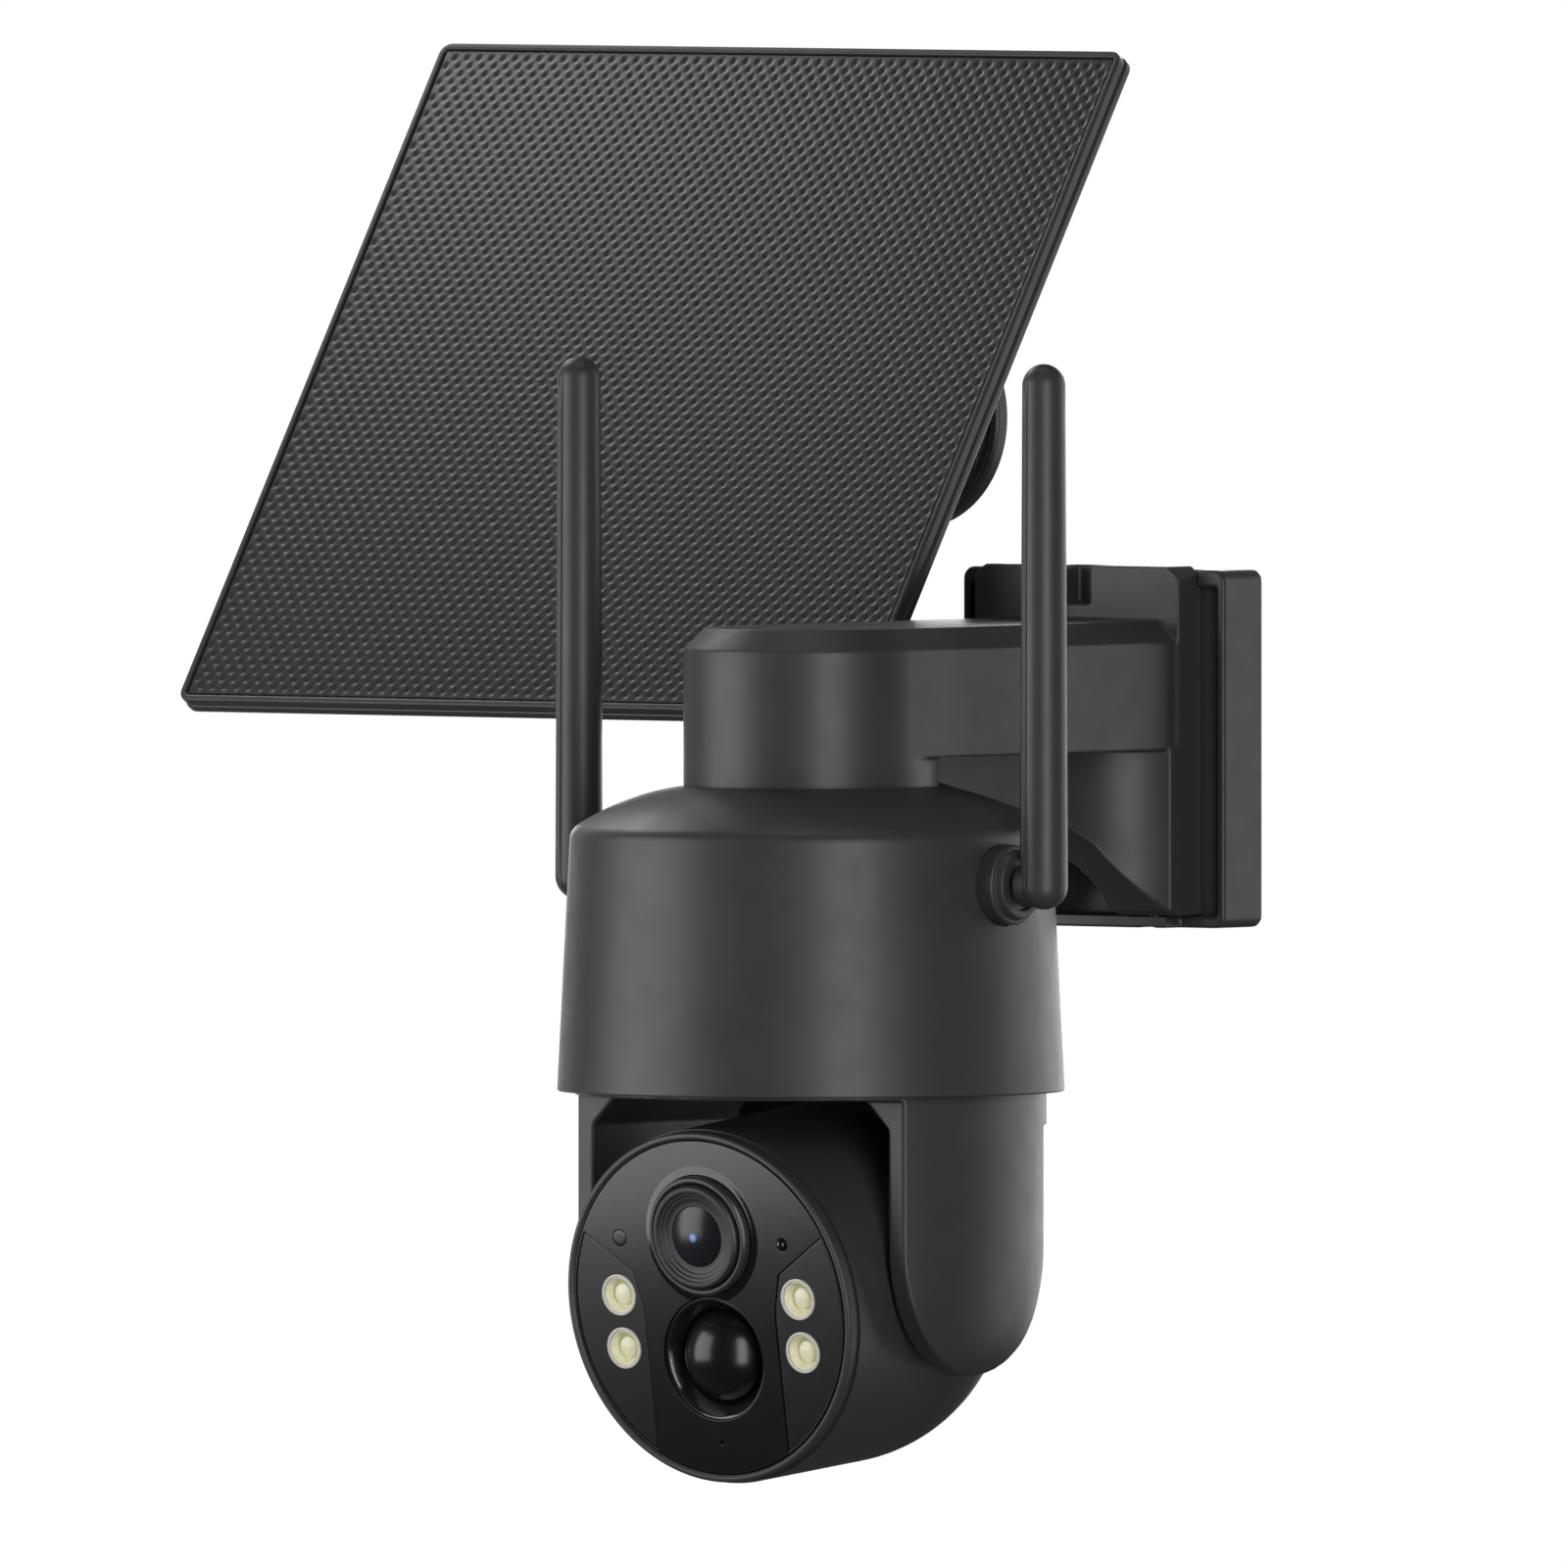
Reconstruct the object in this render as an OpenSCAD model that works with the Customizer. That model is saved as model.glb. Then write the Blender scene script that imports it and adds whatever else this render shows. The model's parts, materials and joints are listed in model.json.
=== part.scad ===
// Battery-powered outdoor security camera: a pan and tilt head under a domed housing,
// held off the wall by a moulded bracket, with two folding antennas and a solar panel
// on its own wall base. Millimetres, +Z up, the wall at Y = 0, the camera facing -Y.

/* [Bracket] */
// Distance from the wall to the vertical pan axis
reach = 114; // [112:1:120]
// Width of the wall plate
plate_w = 72; // [68:1:76]
// Height of the wall plate
plate_h = 78; // [78:1:84]
// Depth of the wall plate
plate_t = 14; // [13:1:16]
// Horizontal spacing of the wall screws
screw_dx = 40; // [36:1:44]
// Vertical spacing of the wall screws
screw_dz = 50; // [44:1:54]
// Radius of the wall screw holes
screw_hole_r = 2.25; // [2:0.05:2.5]
// Radius of the bracket's drum above the housing
drum_r = 27.7; // [27:0.1:28]
// Height of the bracket arm
arm_h = 28; // [26:1:30]

/* [Housing] */
// Radius of the housing at its lower rim
rim_r = 55.1; // [54.5:0.1:56]
// Height of the lower rim
rim_z = -72.6; // [-74:0.1:-72]
// Wall thickness of the mouldings
wall = 2.5; // [2:0.1:2.6]

/* [Yoke and head] */
// Outer radius of the yoke
yoke_r = 51.2; // [50.5:0.1:51.6]
// Half of the gap between the yoke's arms
fork_half = 40.5; // [40.2:0.1:41]
// Half of the yoke arm's depth from front to back
arm_half_d = 24.7; // [24:0.1:26]
// Height of the tilt axis
tilt_z = -114.5; // [-115:0.1:-113]
// How far the tilt axis lies behind the pan axis
tilt_back = 5.5; // [4:0.5:6]
// Radius of the head's rear dome
head_r = 39.4; // [39:0.1:39.6]
// Distance from the tilt axis to the face
face_d = 42; // [41:0.5:43]
// Radius of the round face
face_r = 38.6; // [38:0.1:38.8]
// Downward tilt of the head's body at rest
head_tilt = 6; // [5:0.5:7]
// Downward tilt of the face at rest
face_tilt = 9; // [8:0.5:11]

/* [Antennas] */
// Distance of an antenna from the pan axis
antenna_x = 64; // [63.5:0.5:66]
// Radius at the foot of an antenna
antenna_r = 5.2; // [4.8:0.1:5.4]
// Height of an antenna above its hinge
antenna_l = 113; // [100:1:116]

/* [Solar panel] */
// Width of the panel
panel_w = 190; // [180:1:191]
// Height of the panel along its slope
panel_h = 172.5; // [160:0.5:174]
// Thickness of the panel
panel_t = 5; // [5:0.5:6]
// Lean of the panel back from the vertical
panel_lean = 33.4; // [30:0.1:34]
// How far the panel's wall base lies behind the bracket's wall face
base_step = 40; // [40:1:44]
// Radius of the panel's wall base
base_r = 24.6; // [24:0.1:26]
// Radius of the circle of base screws
base_screw_ring = 18.3; // [18:0.1:18.6]

/* [Hidden] */
$fn = 64;
fit = 0.05;
air = 0.3;
BLACK = "#2b2b2d";
DARK = "#1d1d1f";
STEEL = "#a8abb0";
NYLON = "#d9d6cb";
BOARD = "#20543a";

// The housing's shoulder is an arc that starts near the axis and ends in a small corner.
shoulder_r0 = 20.6;
shoulder_radius = 55;
shoulder_zc = -60.9;
shoulder_end = 33;
corner_radius = 4;
drum_z = -6.9;
deck_z = -7.4;
neck_r = 28;
boss_z = -27;
boss_seat = 52;
boss_end = 58.2;
post_ring = 46;
chassis_z = -64.4;
chassis_t = 2.5;
yoke_top = -68.5;
fork_top = -73.4;
arm_foot_z = -105;
skirt_h = 6.6;
arm_foot_h = 28.8;
plate_front = reach - plate_t;
block_front = 94;
block_back = plate_front + 2.9;
block_half = 28;
block_top = 39.8;
block_foot = -36.3;
lip_t = 2.5;
lock_y = 98;

// Pan gear train, module 1: a ring gear on the yoke and a pinion on the motor.
pan_teeth = 44;
pan_pinion_teeth = 11;
pan_centres = 27.5;
hub_r = 8;

// Tilt gear train, module 0.8: a gear on the yoke's shaft and a pinion on the motor.
tilt_module = 0.8;
tilt_teeth = 30;
tilt_pinion_teeth = 10;
tilt_centres = 16;
tilt_gear_angle = 216;
shaft_r = 4.95;
gear_x = -28;
gear_w = 4;

// Places on the face: [right, up] from its centre.
lens_at = [0, 16];
pir_at = [0, -11.3];
led_at = [[-24.6, 2.3], [24.6, 2.3], [-24.6, -9.4], [24.6, -9.4]];
light_at = [21.7, 14.3];
status_at = [-22.8, 14.9];
mic_at = [0, -29.7];
post_at = [[-12, -26.5], [12, -26.5], [0, 33.2]];
panel_r = 36.7;
led_r = 4.5;

// The panel's centre, its hinge pin and its wall base, in the pan axis frame.
panel_at = [-123.9, 100.7, 79.7];
pin_back = panel_t + 14;
pin_at = panel_at + pin_back * [0, cos(panel_lean), -sin(panel_lean)];
base_at = [-90, reach + base_step, 70.2];
hub_front = 127;
link_t = 7.2;
link_r = 7;
base_boss = base_at.y - 13;

// ---------- helpers ----------

module at_axis() {
    translate([0, -reach, 0]) children();
}

module head_frame() {
    at_axis() translate([0, tilt_back, tilt_z]) rotate([head_tilt, 0, 0]) children();
}

// Local X is right, local Y is up the face and local Z points out of the face.
module face_frame() {
    drop = [0, -face_d * cos(head_tilt), -face_d * sin(head_tilt)];
    at_axis() translate([0, tilt_back, tilt_z] + drop) rotate([90 + face_tilt, 0, 0]) children();
}

// Local X is right, local Y is up the panel and local Z points out of its front.
module panel_frame_of_reference() {
    at_axis() translate(panel_at) rotate([90 - panel_lean, 0, 0]) children();
}

// Turns a solid drawn along Z to lie along X, its X becoming Y and its Y becoming Z.
module along_x() {
    rotate([90, 0, 90]) children();
}

// Turns a solid drawn along Z to lie along -Y, with its X kept and its Y becoming Z.
module along_y() {
    rotate([90, 0, 0]) children();
}

module tube(outer, inner, height) {
    difference() {
        cylinder(r = outer, h = height);
        translate([0, 0, -1]) cylinder(r = inner, h = height + 2);
    }
}

module mirrored_x() {
    children();
    mirror([1, 0, 0]) children();
}

module rounded_rect(w, h, r) {
    square([w - 2 * r, h], center = true);
    square([w, h - 2 * r], center = true);
    for (x = [-1, 1], y = [-1, 1]) translate([x * (w / 2 - r), y * (h / 2 - r)]) circle(r);
}

module pan_head_screw(r, length, head_r, head_h) {
    cylinder(r = head_r, h = head_h);
    translate([0, 0, -length]) cylinder(r = r, h = length + 0.01);
}

// A straight-flanked gear with generous backlash.
module gear_outline(teeth, m) {
    pitch = m * teeth / 2;
    tip = pitch + 0.8 * m;
    root = pitch - 1.1 * m;
    function flank(r, half) = half / r * 180 / PI;
    polygon([
        for (i = [0:teeth - 1], k = [
            [root, -flank(root, 0.98 * m)], [tip, -flank(tip, 0.36 * m)],
            [tip, flank(tip, 0.36 * m)], [root, flank(root, 0.98 * m)]
        ]) k[0] * [cos(k[1] + i * 360 / teeth), sin(k[1] + i * 360 / teeth)]
    ]);
}

function arc(cx, cy, r, from, to, steps) = [
    for (i = [0:steps]) let (a = from + (to - from) * i / steps) [cx + r * sin(a), cy + r * cos(a)]
];

// ---------- bracket ----------

module wall_plate() {
    color(BLACK) difference() {
        union() {
            along_y() linear_extrude(plate_t) rounded_rect(plate_w, plate_h, 2.7);
            translate([-24, block_front + 0.5 - reach, -plate_h / 2]) cube([48, 8, lip_t]);
        }
        translate([-34, -plate_t - 1, block_foot - 0.2]) cube([68, 3.9, 35.3 - block_foot + 0.2]);
        translate([-block_half - air, -plate_t - 1, 30]) cube([2 * (block_half + air), 3.9, 20]);
        for (x = [-1, 1], z = [-1, 1]) {
            translate([x * screw_dx / 2, 1, z * screw_dz / 2]) along_y() {
                cylinder(r = screw_hole_r, h = plate_t);
            }
        }
        lock_screw_places() {
            translate([0, 0, -1]) cylinder(r = 1.6, h = 4);
            translate([0, 0, -1]) cylinder(r = 2.9, h = 2.2);
        }
    }
}

// The lip under the block carries the two screws that lock the bracket to the plate.
module lock_screw_places() {
    for (x = [-19, 19]) translate([x, lock_y - reach, -plate_h / 2]) children();
}

module drum() {
    translate([0, 0, drum_z]) cylinder(r = drum_r, h = arm_h - 4.7 - drum_z);
    translate([0, 0, arm_h - 4.7]) cylinder(r1 = drum_r, r2 = drum_r - 4.7, h = 4.7);
}

module arm_beam() {
    top = drum_r - 4.7;
    translate([0, block_front + 0.5, 0]) along_y() linear_extrude(block_front + 0.5) polygon([
        [-drum_r, 0], [drum_r, 0], [drum_r, arm_h - 4.7],
        [top, arm_h], [-top, arm_h], [-drum_r, arm_h - 4.7]
    ]);
}

module bracket_block() {
    translate([0, block_back, 0]) along_y() linear_extrude(block_back - block_front) polygon([
        [-block_half, block_foot], [block_half, block_foot], [block_half, block_top - 2.4],
        [block_half - 2.9, block_top], [-block_half + 2.9, block_top],
        [-block_half, block_top - 2.4]
    ]);
}

// The web under the arm widens to the block in a concave sweep on each side.
module bracket_web() {
    intersection() {
        translate([0, 0, -50]) linear_extrude(50.5) polygon(concat(
            [[-12, 20], [12, 20]],
            [for (p = arc(40, 66, 28, -90, -25, 10)) p],
            [[block_half, block_front + 1], [-block_half, block_front + 1]],
            [for (p = arc(-40, 66, 28, 25, 90, 10)) p]
        ));
        translate([-40, 0, 0]) along_x() linear_extrude(80) polygon([
            [22, 1], [95, 1], [95, -35.5], [91.3, -35.3],
            [80, -20.6], [72, -15.5], [58, -12.7], [27, -5.9], [22, -5.9]
        ]);
    }
}

module bracket_arm() {
    color(BLACK) at_axis() difference() {
        union() {
            drum();
            arm_beam();
            bracket_block();
            bracket_web();
        }
        translate([-3.8, block_front - 1, 31.4]) cube([7.6, 7, 20]);
        translate([0, block_back + 1, -33.5]) along_y() cylinder(r = 11, h = 50);
        translate([0, 0, drum_z - 1]) cylinder(r = 9, h = 26);
        translate([0, block_back + 1, 12]) along_y() cylinder(r = 6.5, h = block_back + 1);
        for (a = [45:90:315]) rotate(a) translate([18, 0, drum_z - 1]) cylinder(r = 1.55, h = 13);
        for (x = [-1, 1], z = [-1, 1]) {
            translate([x * screw_dx / 2, block_back + 1, z * screw_dz / 2]) along_y() {
                cylinder(r = 5, h = 5.5);
            }
        }
        for (x = [-19, 19]) translate([x, lock_y, block_foot - 1]) cylinder(r = 1.45, h = 7);
    }
}

module bracket_lock_screws() {
    color(STEEL) lock_screw_places() translate([0, 0, 1.18]) mirror([0, 0, 1]) {
        pan_head_screw(1.4, 6, 2.7, 1);
    }
}

module neck_gasket() {
    color(DARK) at_axis() translate([0, 0, deck_z + 0.02]) tube(27, 21, drum_z - deck_z - 0.04);
}

// ---------- housing ----------

function shoulder_arc(inset, from, to, steps) = arc(
    shoulder_r0, shoulder_zc, shoulder_radius - inset, from, to, steps);
function corner_arc(inset, from, to, steps) = let (
    reach_r = shoulder_radius - corner_radius,
    cx = shoulder_r0 + reach_r * sin(shoulder_end),
    cz = shoulder_zc + reach_r * cos(shoulder_end)
) arc(cx, cz, corner_radius - inset, from, to, steps);

module housing_body() {
    neck_angle = asin((neck_r - shoulder_r0) / shoulder_radius);
    rotate_extrude($fn = 96) polygon(concat(
        [[12, deck_z], [neck_r, deck_z]],
        shoulder_arc(0, neck_angle, shoulder_end, 6),
        corner_arc(0, shoulder_end + 9, 87.2, 6),
        [[rim_r, rim_z], [rim_r - wall, rim_z]],
        corner_arc(wall, 87.2, shoulder_end + 9, 4),
        shoulder_arc(wall, shoulder_end, 14, 4),
        [[12, deck_z - wall]]
    ));
}

module housing_shell() {
    color(BLACK) at_axis() difference() {
        union() {
            housing_body();
            for (a = [30, 150, 270]) rotate(a) translate([post_ring, 0, chassis_z + chassis_t + 0.02]) {
                cylinder(r = 3.2, h = 46.8);
            }
            for (a = [0, 120, 240]) rotate(a) translate([22.5, 0, -19.78]) cylinder(r = 2.5, h = 10.5);
        }
        for (a = [30, 150, 270]) rotate(a) translate([post_ring, 0, chassis_z]) cylinder(r = 1.25, h = 16);
        for (a = [45:90:315]) rotate(a) translate([18, 0, -20]) cylinder(r = 1.6, h = 20);
        for (s = [-1, 1]) translate([0, 0, boss_z]) rotate([0, s * 90, 0]) {
            translate([0, 0, boss_seat]) cylinder(r = 9, h = 10);
            translate([0, 0, 40]) cylinder(r = 6, h = 20);
        }
        translate([-5.5, 45, -43]) cube([11, 15, 6]);
    }
}

module housing_screws() {
    color(STEEL) at_axis() {
        for (a = [45:90:315]) rotate(a) translate([18, 0, deck_z - wall - 0.02]) mirror([0, 0, 1]) {
            pan_head_screw(1.5, 12, 2.8, 1.6);
        }
        for (a = [30, 150, 270]) rotate(a) translate([post_ring, 0, chassis_z - 0.02]) mirror([0, 0, 1]) {
            pan_head_screw(1.2, 14, 2.5, 1.4);
        }
    }
}

// Each boss is a stepped rosette that carries the antenna's hinge axle.
module antenna_bosses() {
    color(BLACK) at_axis() for (s = [-1, 1]) translate([0, 0, boss_z]) rotate([0, s * 90, 0]) {
        difference() {
            union() {
                translate([0, 0, boss_seat + 0.02]) cylinder(r = 8.7, h = 4.4);
                translate([0, 0, boss_seat + 4]) cylinder(r = 7.2, h = boss_end - boss_seat - 4);
                translate([0, 0, 46]) cylinder(r = 5.8, h = boss_seat - 45);
            }
            translate([0, 0, 45]) cylinder(r = 3 + fit, h = 20);
        }
    }
}

module charge_port() {
    color(STEEL) at_axis() difference() {
        translate([-4.6, 43.6, -41.9]) cube([9.2, 7.2, 3.8]);
        translate([-3.6, 44.6, -41.1]) cube([7.2, 8, 2.2]);
    }
}

module port_cover() {
    color(DARK) at_axis() {
        translate([-5.2, 51.2, -42.7]) cube([10.4, 3.2, 5.4]);
        translate([-7.5, 54.3, -44.5]) cube([15, 1.7, 9]);
    }
}

// ---------- inside the housing ----------

module main_board() {
    color(BOARD) at_axis() translate([0, 0, -21.4]) tube(42, 4, 1.6);
}

module board_parts() {
    color(STEEL) at_axis() {
        translate([5, -20, -19.78]) cube([20, 16, 2.4]);
        translate([-26, -20, -19.78]) cube([12, 12, 1.4]);
        translate([-24, 10, -19.78]) cube([14, 5, 4.5]);
        translate([10, 14, -19.78]) cube([9, 5, 4.5]);
    }
}

module battery_cells() {
    color("#3f7f8c") at_axis() for (y = [-19, 0, 19]) {
        translate([-32.5, y, -32.1]) rotate([0, 90, 0]) {
            cylinder(r = 9.2, h = 64);
            cylinder(r = 3.2, h = 65);
        }
    }
}

module battery_tray() {
    color(DARK) at_axis() {
        translate([-34, -29, -42.8]) cube([68, 58, 1.4]);
        for (x = [-35.6, 34]) translate([x, -29, -42.8]) cube([1.6, 58, 8]);
        for (x = [-28, 28], y = [-22, 22]) translate([x, y, chassis_z + chassis_t + 0.02]) {
            cylinder(r = 2.5, h = 19.2);
        }
    }
}

module chassis_plate() {
    color(DARK) at_axis() translate([0, 0, chassis_z]) difference() {
        union() {
            cylinder(r = 51.5, h = chassis_t);
            cylinder(r = 13.2, h = 7);
        }
        translate([0, 0, -1]) cylinder(r = 12.02, h = 10);
        translate([0, pan_centres, -1]) cylinder(r = 6.8, h = 5);
        for (a = [30, 150, 270]) rotate(a) translate([post_ring, 0, -1]) cylinder(r = 1.3, h = 5);
    }
}

module pan_motor() {
    color(STEEL) at_axis() translate([0, pan_centres, chassis_z + chassis_t + 0.02]) difference() {
        cylinder(r = 14, h = 18);
        translate([0, 0, -1]) cylinder(r = 1.5 + fit, h = 10);
    }
}

module pan_bearing() {
    color(STEEL) at_axis() translate([0, 0, chassis_z]) tube(12, hub_r + fit, 7);
}

module pan_pinion() {
    color(NYLON) at_axis() translate([0, pan_centres, -68.1]) {
        linear_extrude(2.9) rotate(270 + 180 / pan_pinion_teeth) gear_outline(pan_pinion_teeth, 1);
        cylinder(r = 1.5, h = 13);
    }
}

// ---------- yoke ----------

// The yoke's outer wall is upright and then curves in towards the foot of the arms.
module yoke_envelope() {
    foot = arm_foot_z - arm_foot_h;
    rotate_extrude($fn = 96) polygon(concat(
        [[0, yoke_top], [yoke_r, yoke_top]],
        [for (i = [0:10]) let (s = sin(i * 9)) [yoke_r - 9 * (1 - cos(i * 9)), -106 - 28 * s]],
        [[0, foot - 0.2]]
    ));
}

module yoke_side_outline() {
    polygon(concat(
        [[-yoke_r - 1, yoke_top], [-yoke_r - 1, fork_top], [-arm_half_d, fork_top]],
        [for (a = [0:10:180]) [-arm_half_d * cos(a), arm_foot_z - arm_foot_h * sin(a)]],
        [[arm_half_d, fork_top], [yoke_r + 1, fork_top], [yoke_r + 1, yoke_top]]
    ));
}

module fork_gap() {
    chamfer = 6.6;
    translate([0, 60, 0]) along_y() linear_extrude(120) polygon([
        [-fork_half, -150], [fork_half, -150], [fork_half, fork_top - chamfer],
        [fork_half - chamfer, fork_top], [-fork_half + chamfer, fork_top],
        [-fork_half, fork_top - chamfer]
    ]);
}

// A curved wall behind the head that closes the yoke's crown at the back.
module rear_skirt() {
    difference() {
        translate([-60, 20, fork_top - skirt_h]) cube([120, 40, skirt_h + 0.1]);
        translate([0, 0, -90]) cylinder(r = yoke_r - 4, h = 30);
    }
}

module yoke_frame() {
    color(BLACK) at_axis() difference() {
        union() {
            difference() {
                intersection() {
                    yoke_envelope();
                    translate([-60, 0, 0]) along_x() linear_extrude(120) yoke_side_outline();
                }
                fork_gap();
            }
            intersection() {
                yoke_envelope();
                rear_skirt();
            }
            translate([0, 0, yoke_top - 1]) cylinder(r = hub_r, h = 15.5);
        }
        translate([0, 0, -80]) cylinder(r = 5.5, h = 30);
        for (s = [-1, 1]) translate([0, tilt_back, tilt_z]) rotate([0, s * 90, 0]) {
            translate([0, 0, 30]) cylinder(r = shaft_r + 0.03, h = 17);
        }
    }
}

module pan_gear() {
    color(NYLON) at_axis() translate([0, 0, yoke_top + 0.02]) difference() {
        linear_extrude(3.4) gear_outline(pan_teeth, 1);
        translate([0, 0, -1]) cylinder(r = hub_r + 0.03, h = 6);
    }
}

module pan_retainer() {
    color(STEEL) at_axis() translate([0, 0, chassis_z + 7.3]) tube(11.5, hub_r + 0.03, 1.8);
}

module tilt_shafts() {
    color(STEEL) at_axis() translate([0, tilt_back, tilt_z]) {
        translate([-46.9, 0, 0]) along_x() tube(shaft_r, 2.5, 46.9 + gear_x + gear_w + 0.5);
        translate([30, 0, 0]) along_x() tube(shaft_r, 2.5, 16.9);
    }
}

module tilt_gear() {
    color(NYLON) head_frame() translate([gear_x, 0, 0]) along_x() difference() {
        linear_extrude(gear_w) gear_outline(tilt_teeth, tilt_module);
        translate([0, 0, -1]) cylinder(r = shaft_r + 0.03, h = gear_w + 2);
    }
}

// ---------- head ----------

module head_solid(inset) {
    r = head_r - inset;
    rotate([90, 0, 0]) {
        rotate_extrude($fn = 96) intersection() {
            circle(r, $fn = 96);
            translate([0, -60]) square([60, 60]);
        }
        cylinder(r1 = r, r2 = face_r + 0.3 - inset, h = face_d + 6, $fn = 96);
    }
}

// Everything of the head's body that lies more than a given depth behind the face.
module behind_face(depth) {
    intersection() {
        children();
        face_frame() translate([-60, -70, -120 - depth]) cube([120, 140, 120]);
    }
}

module cover_column(grow) {
    translate([-8 - grow, -17 - grow, -45]) cube([16 + 2 * grow, 13 + 2 * grow, 15]);
}

module head_shell() {
    color(BLACK) difference() {
        behind_face(3.4) head_frame() head_solid(0);
        head_frame() head_solid(2.2);
        head_frame() for (s = [-1, 1]) rotate([0, s * 90, 0]) cylinder(r = 7.02, h = 50);
        head_frame() cover_column(0.25);
        head_frame() translate([0, -23, -45]) cylinder(r = 1.6 + fit, h = 15);
    }
}

module head_seal() {
    color(DARK) face_frame() translate([0, 0, -3.38]) tube(38.2, 37.1, 0.36);
}

module head_bezel() {
    color(DARK) face_frame() difference() {
        union() {
            translate([0, 0, -3]) cylinder(r = face_r, h = 2.3);
            translate([0, 0, -0.71]) cylinder(r1 = face_r, r2 = face_r - 0.7, h = 0.71);
        }
        translate([0, 0, -4]) cylinder(r = panel_r + 0.25, h = 5);
    }
}

module cheek_outline(grow) {
    intersection() {
        circle(panel_r - 0.5 + grow / 2, $fn = 96);
        mirrored_x() polygon([
            [18 - grow, -40], [18 - grow, -1], [20 - grow, 7.5 + grow / 2],
            [36, 18.4 + grow], [45, 18], [45, -40]
        ]);
    }
}

module face_panel() {
    color("#0f0f11") face_frame() {
        difference() {
            translate([0, 0, -2.6]) cylinder(r = panel_r, h = 2.2);
            translate([0, 0, -3]) linear_extrude(3) cheek_outline(0.15);
            translate([lens_at.x, lens_at.y, -3]) cylinder(r = 13.3, h = 4);
            translate([pir_at.x, pir_at.y, -3]) cylinder(r = 13.6, h = 4);
            translate([light_at.x, light_at.y, -3]) cylinder(r = 1.45, h = 4);
            translate([status_at.x, status_at.y, -3]) cylinder(r = 1.85, h = 4);
            translate([mic_at.x, mic_at.y, -3]) cylinder(r = 0.5, h = 4);
        }
        for (p = post_at) translate([p.x, p.y, -7.38]) tube(1.9, 1.15, 4.9);
    }
}

module led_covers() {
    color("#161618") face_frame() difference() {
        translate([0, 0, -2.6]) linear_extrude(2) cheek_outline(0);
        for (p = led_at) translate([p.x, p.y, -3]) cylinder(r = led_r + 0.1, h = 4);
    }
}

module led_lenses() {
    color("#f1ecc8") face_frame() for (p = led_at) translate([p.x, p.y, -3.4]) {
        cylinder(r = led_r, h = 2.9);
        translate([0, 0, 2.85]) cylinder(r1 = led_r - 0.6, r2 = led_r - 1.8, h = 0.6);
    }
}

module led_chips() {
    color("#f4d94e") face_frame() for (p = led_at) translate([p.x - 1.75, p.y - 1.75, -7.38]) {
        cube([3.5, 3.5, 1.2]);
    }
}

module front_board() {
    color(BOARD) face_frame() difference() {
        translate([0, 0, -9]) cylinder(r = 35, h = 1.6);
        translate([lens_at.x, lens_at.y, -10]) cylinder(r = 10.5, h = 4);
        for (p = post_at) translate([p.x, p.y, -10]) cylinder(r = 1.2, h = 4);
    }
}

module board_screws() {
    color(STEEL) face_frame() for (p = post_at) translate([p.x, p.y, -9.02]) mirror([0, 0, 1]) {
        pan_head_screw(1.1, 5.4, 2, 1.1);
    }
}

module lens_barrel() {
    color("#0a0a0b") face_frame() translate([lens_at.x, lens_at.y, 0]) rotate_extrude() polygon([
        [8.4, -0.4], [6.7, 0.2], [6.7, -17.5], [10, -17.5], [10, -6.9], [11.4, -6.9],
        [11.4, 2.2], [10.9, 2.8], [9.6, 2.8], [9.2, 1.2], [8.6, 1]
    ]);
}

module lens_trim_ring() {
    color("#2d2d30") face_frame() translate([lens_at.x, lens_at.y, 0]) rotate_extrude() polygon([
        [11.45, -2.6], [13.2, -2.6], [13.2, 0.9], [12.6, 1.5], [11.9, 1.5], [11.45, 1]
    ]);
}

module lens_glass() {
    color("#2b3350") face_frame() translate([lens_at.x, lens_at.y, 0]) intersection() {
        translate([0, 0, -13.4]) sphere(r = 15);
        translate([0, 0, -3]) cylinder(r = 6.6, h = 6);
    }
}

module image_sensor() {
    color(BOARD) face_frame() translate([lens_at.x, lens_at.y, 0]) {
        translate([-11, -11, -19.6]) cube([22, 22, 1.5]);
        translate([-3, -3, -18.11]) cube([6, 6, 1]);
    }
}

module pir_cup() {
    color("#0c0c0d") face_frame() translate([pir_at.x, pir_at.y, 0]) rotate_extrude() polygon([
        [13.5, -0.4], [13.5, -5.4], [10.5, -5.4], [10.5, -2.9]
    ]);
}

module pir_dome() {
    color("#050506") face_frame() translate([pir_at.x, pir_at.y, -5.4]) difference() {
        intersection() {
            translate([0, 0, -2.6]) sphere(r = 10.72, $fn = 96);
            cylinder(r = 12, h = 12);
        }
        translate([0, 0, -2.6]) sphere(r = 9.7, $fn = 96);
    }
}

module pir_sensor() {
    color(STEEL) face_frame() translate([pir_at.x, pir_at.y, -7.38]) {
        cylinder(r = 4.6, h = 4);
        cylinder(r = 5.2, h = 0.8);
    }
}

module light_sensor() {
    color("#303034") face_frame() translate([light_at.x, light_at.y, -6]) {
        cylinder(r = 1.3, h = 5.5);
        translate([0, 0, 5.5]) intersection() {
            sphere(r = 1.3, $fn = 32);
            cylinder(r = 2, h = 2);
        }
    }
}

module status_light() {
    color("#141416") face_frame() translate([status_at.x, status_at.y, -6]) cylinder(r = 1.75, h = 5.6);
}

module microphone() {
    color(STEEL) face_frame() translate([mic_at.x, mic_at.y, -5.6]) cylinder(r = 3, h = 2.9);
}

module speaker() {
    color(DARK) head_frame() translate([0, 24, 0]) along_y() {
        cylinder(r = 14, h = 3);
        translate([0, 0, 2.9]) cylinder(r1 = 12, r2 = 6, h = 4);
        translate([0, 0, 6.8]) cylinder(r = 6, h = 2.4);
    }
}

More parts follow.
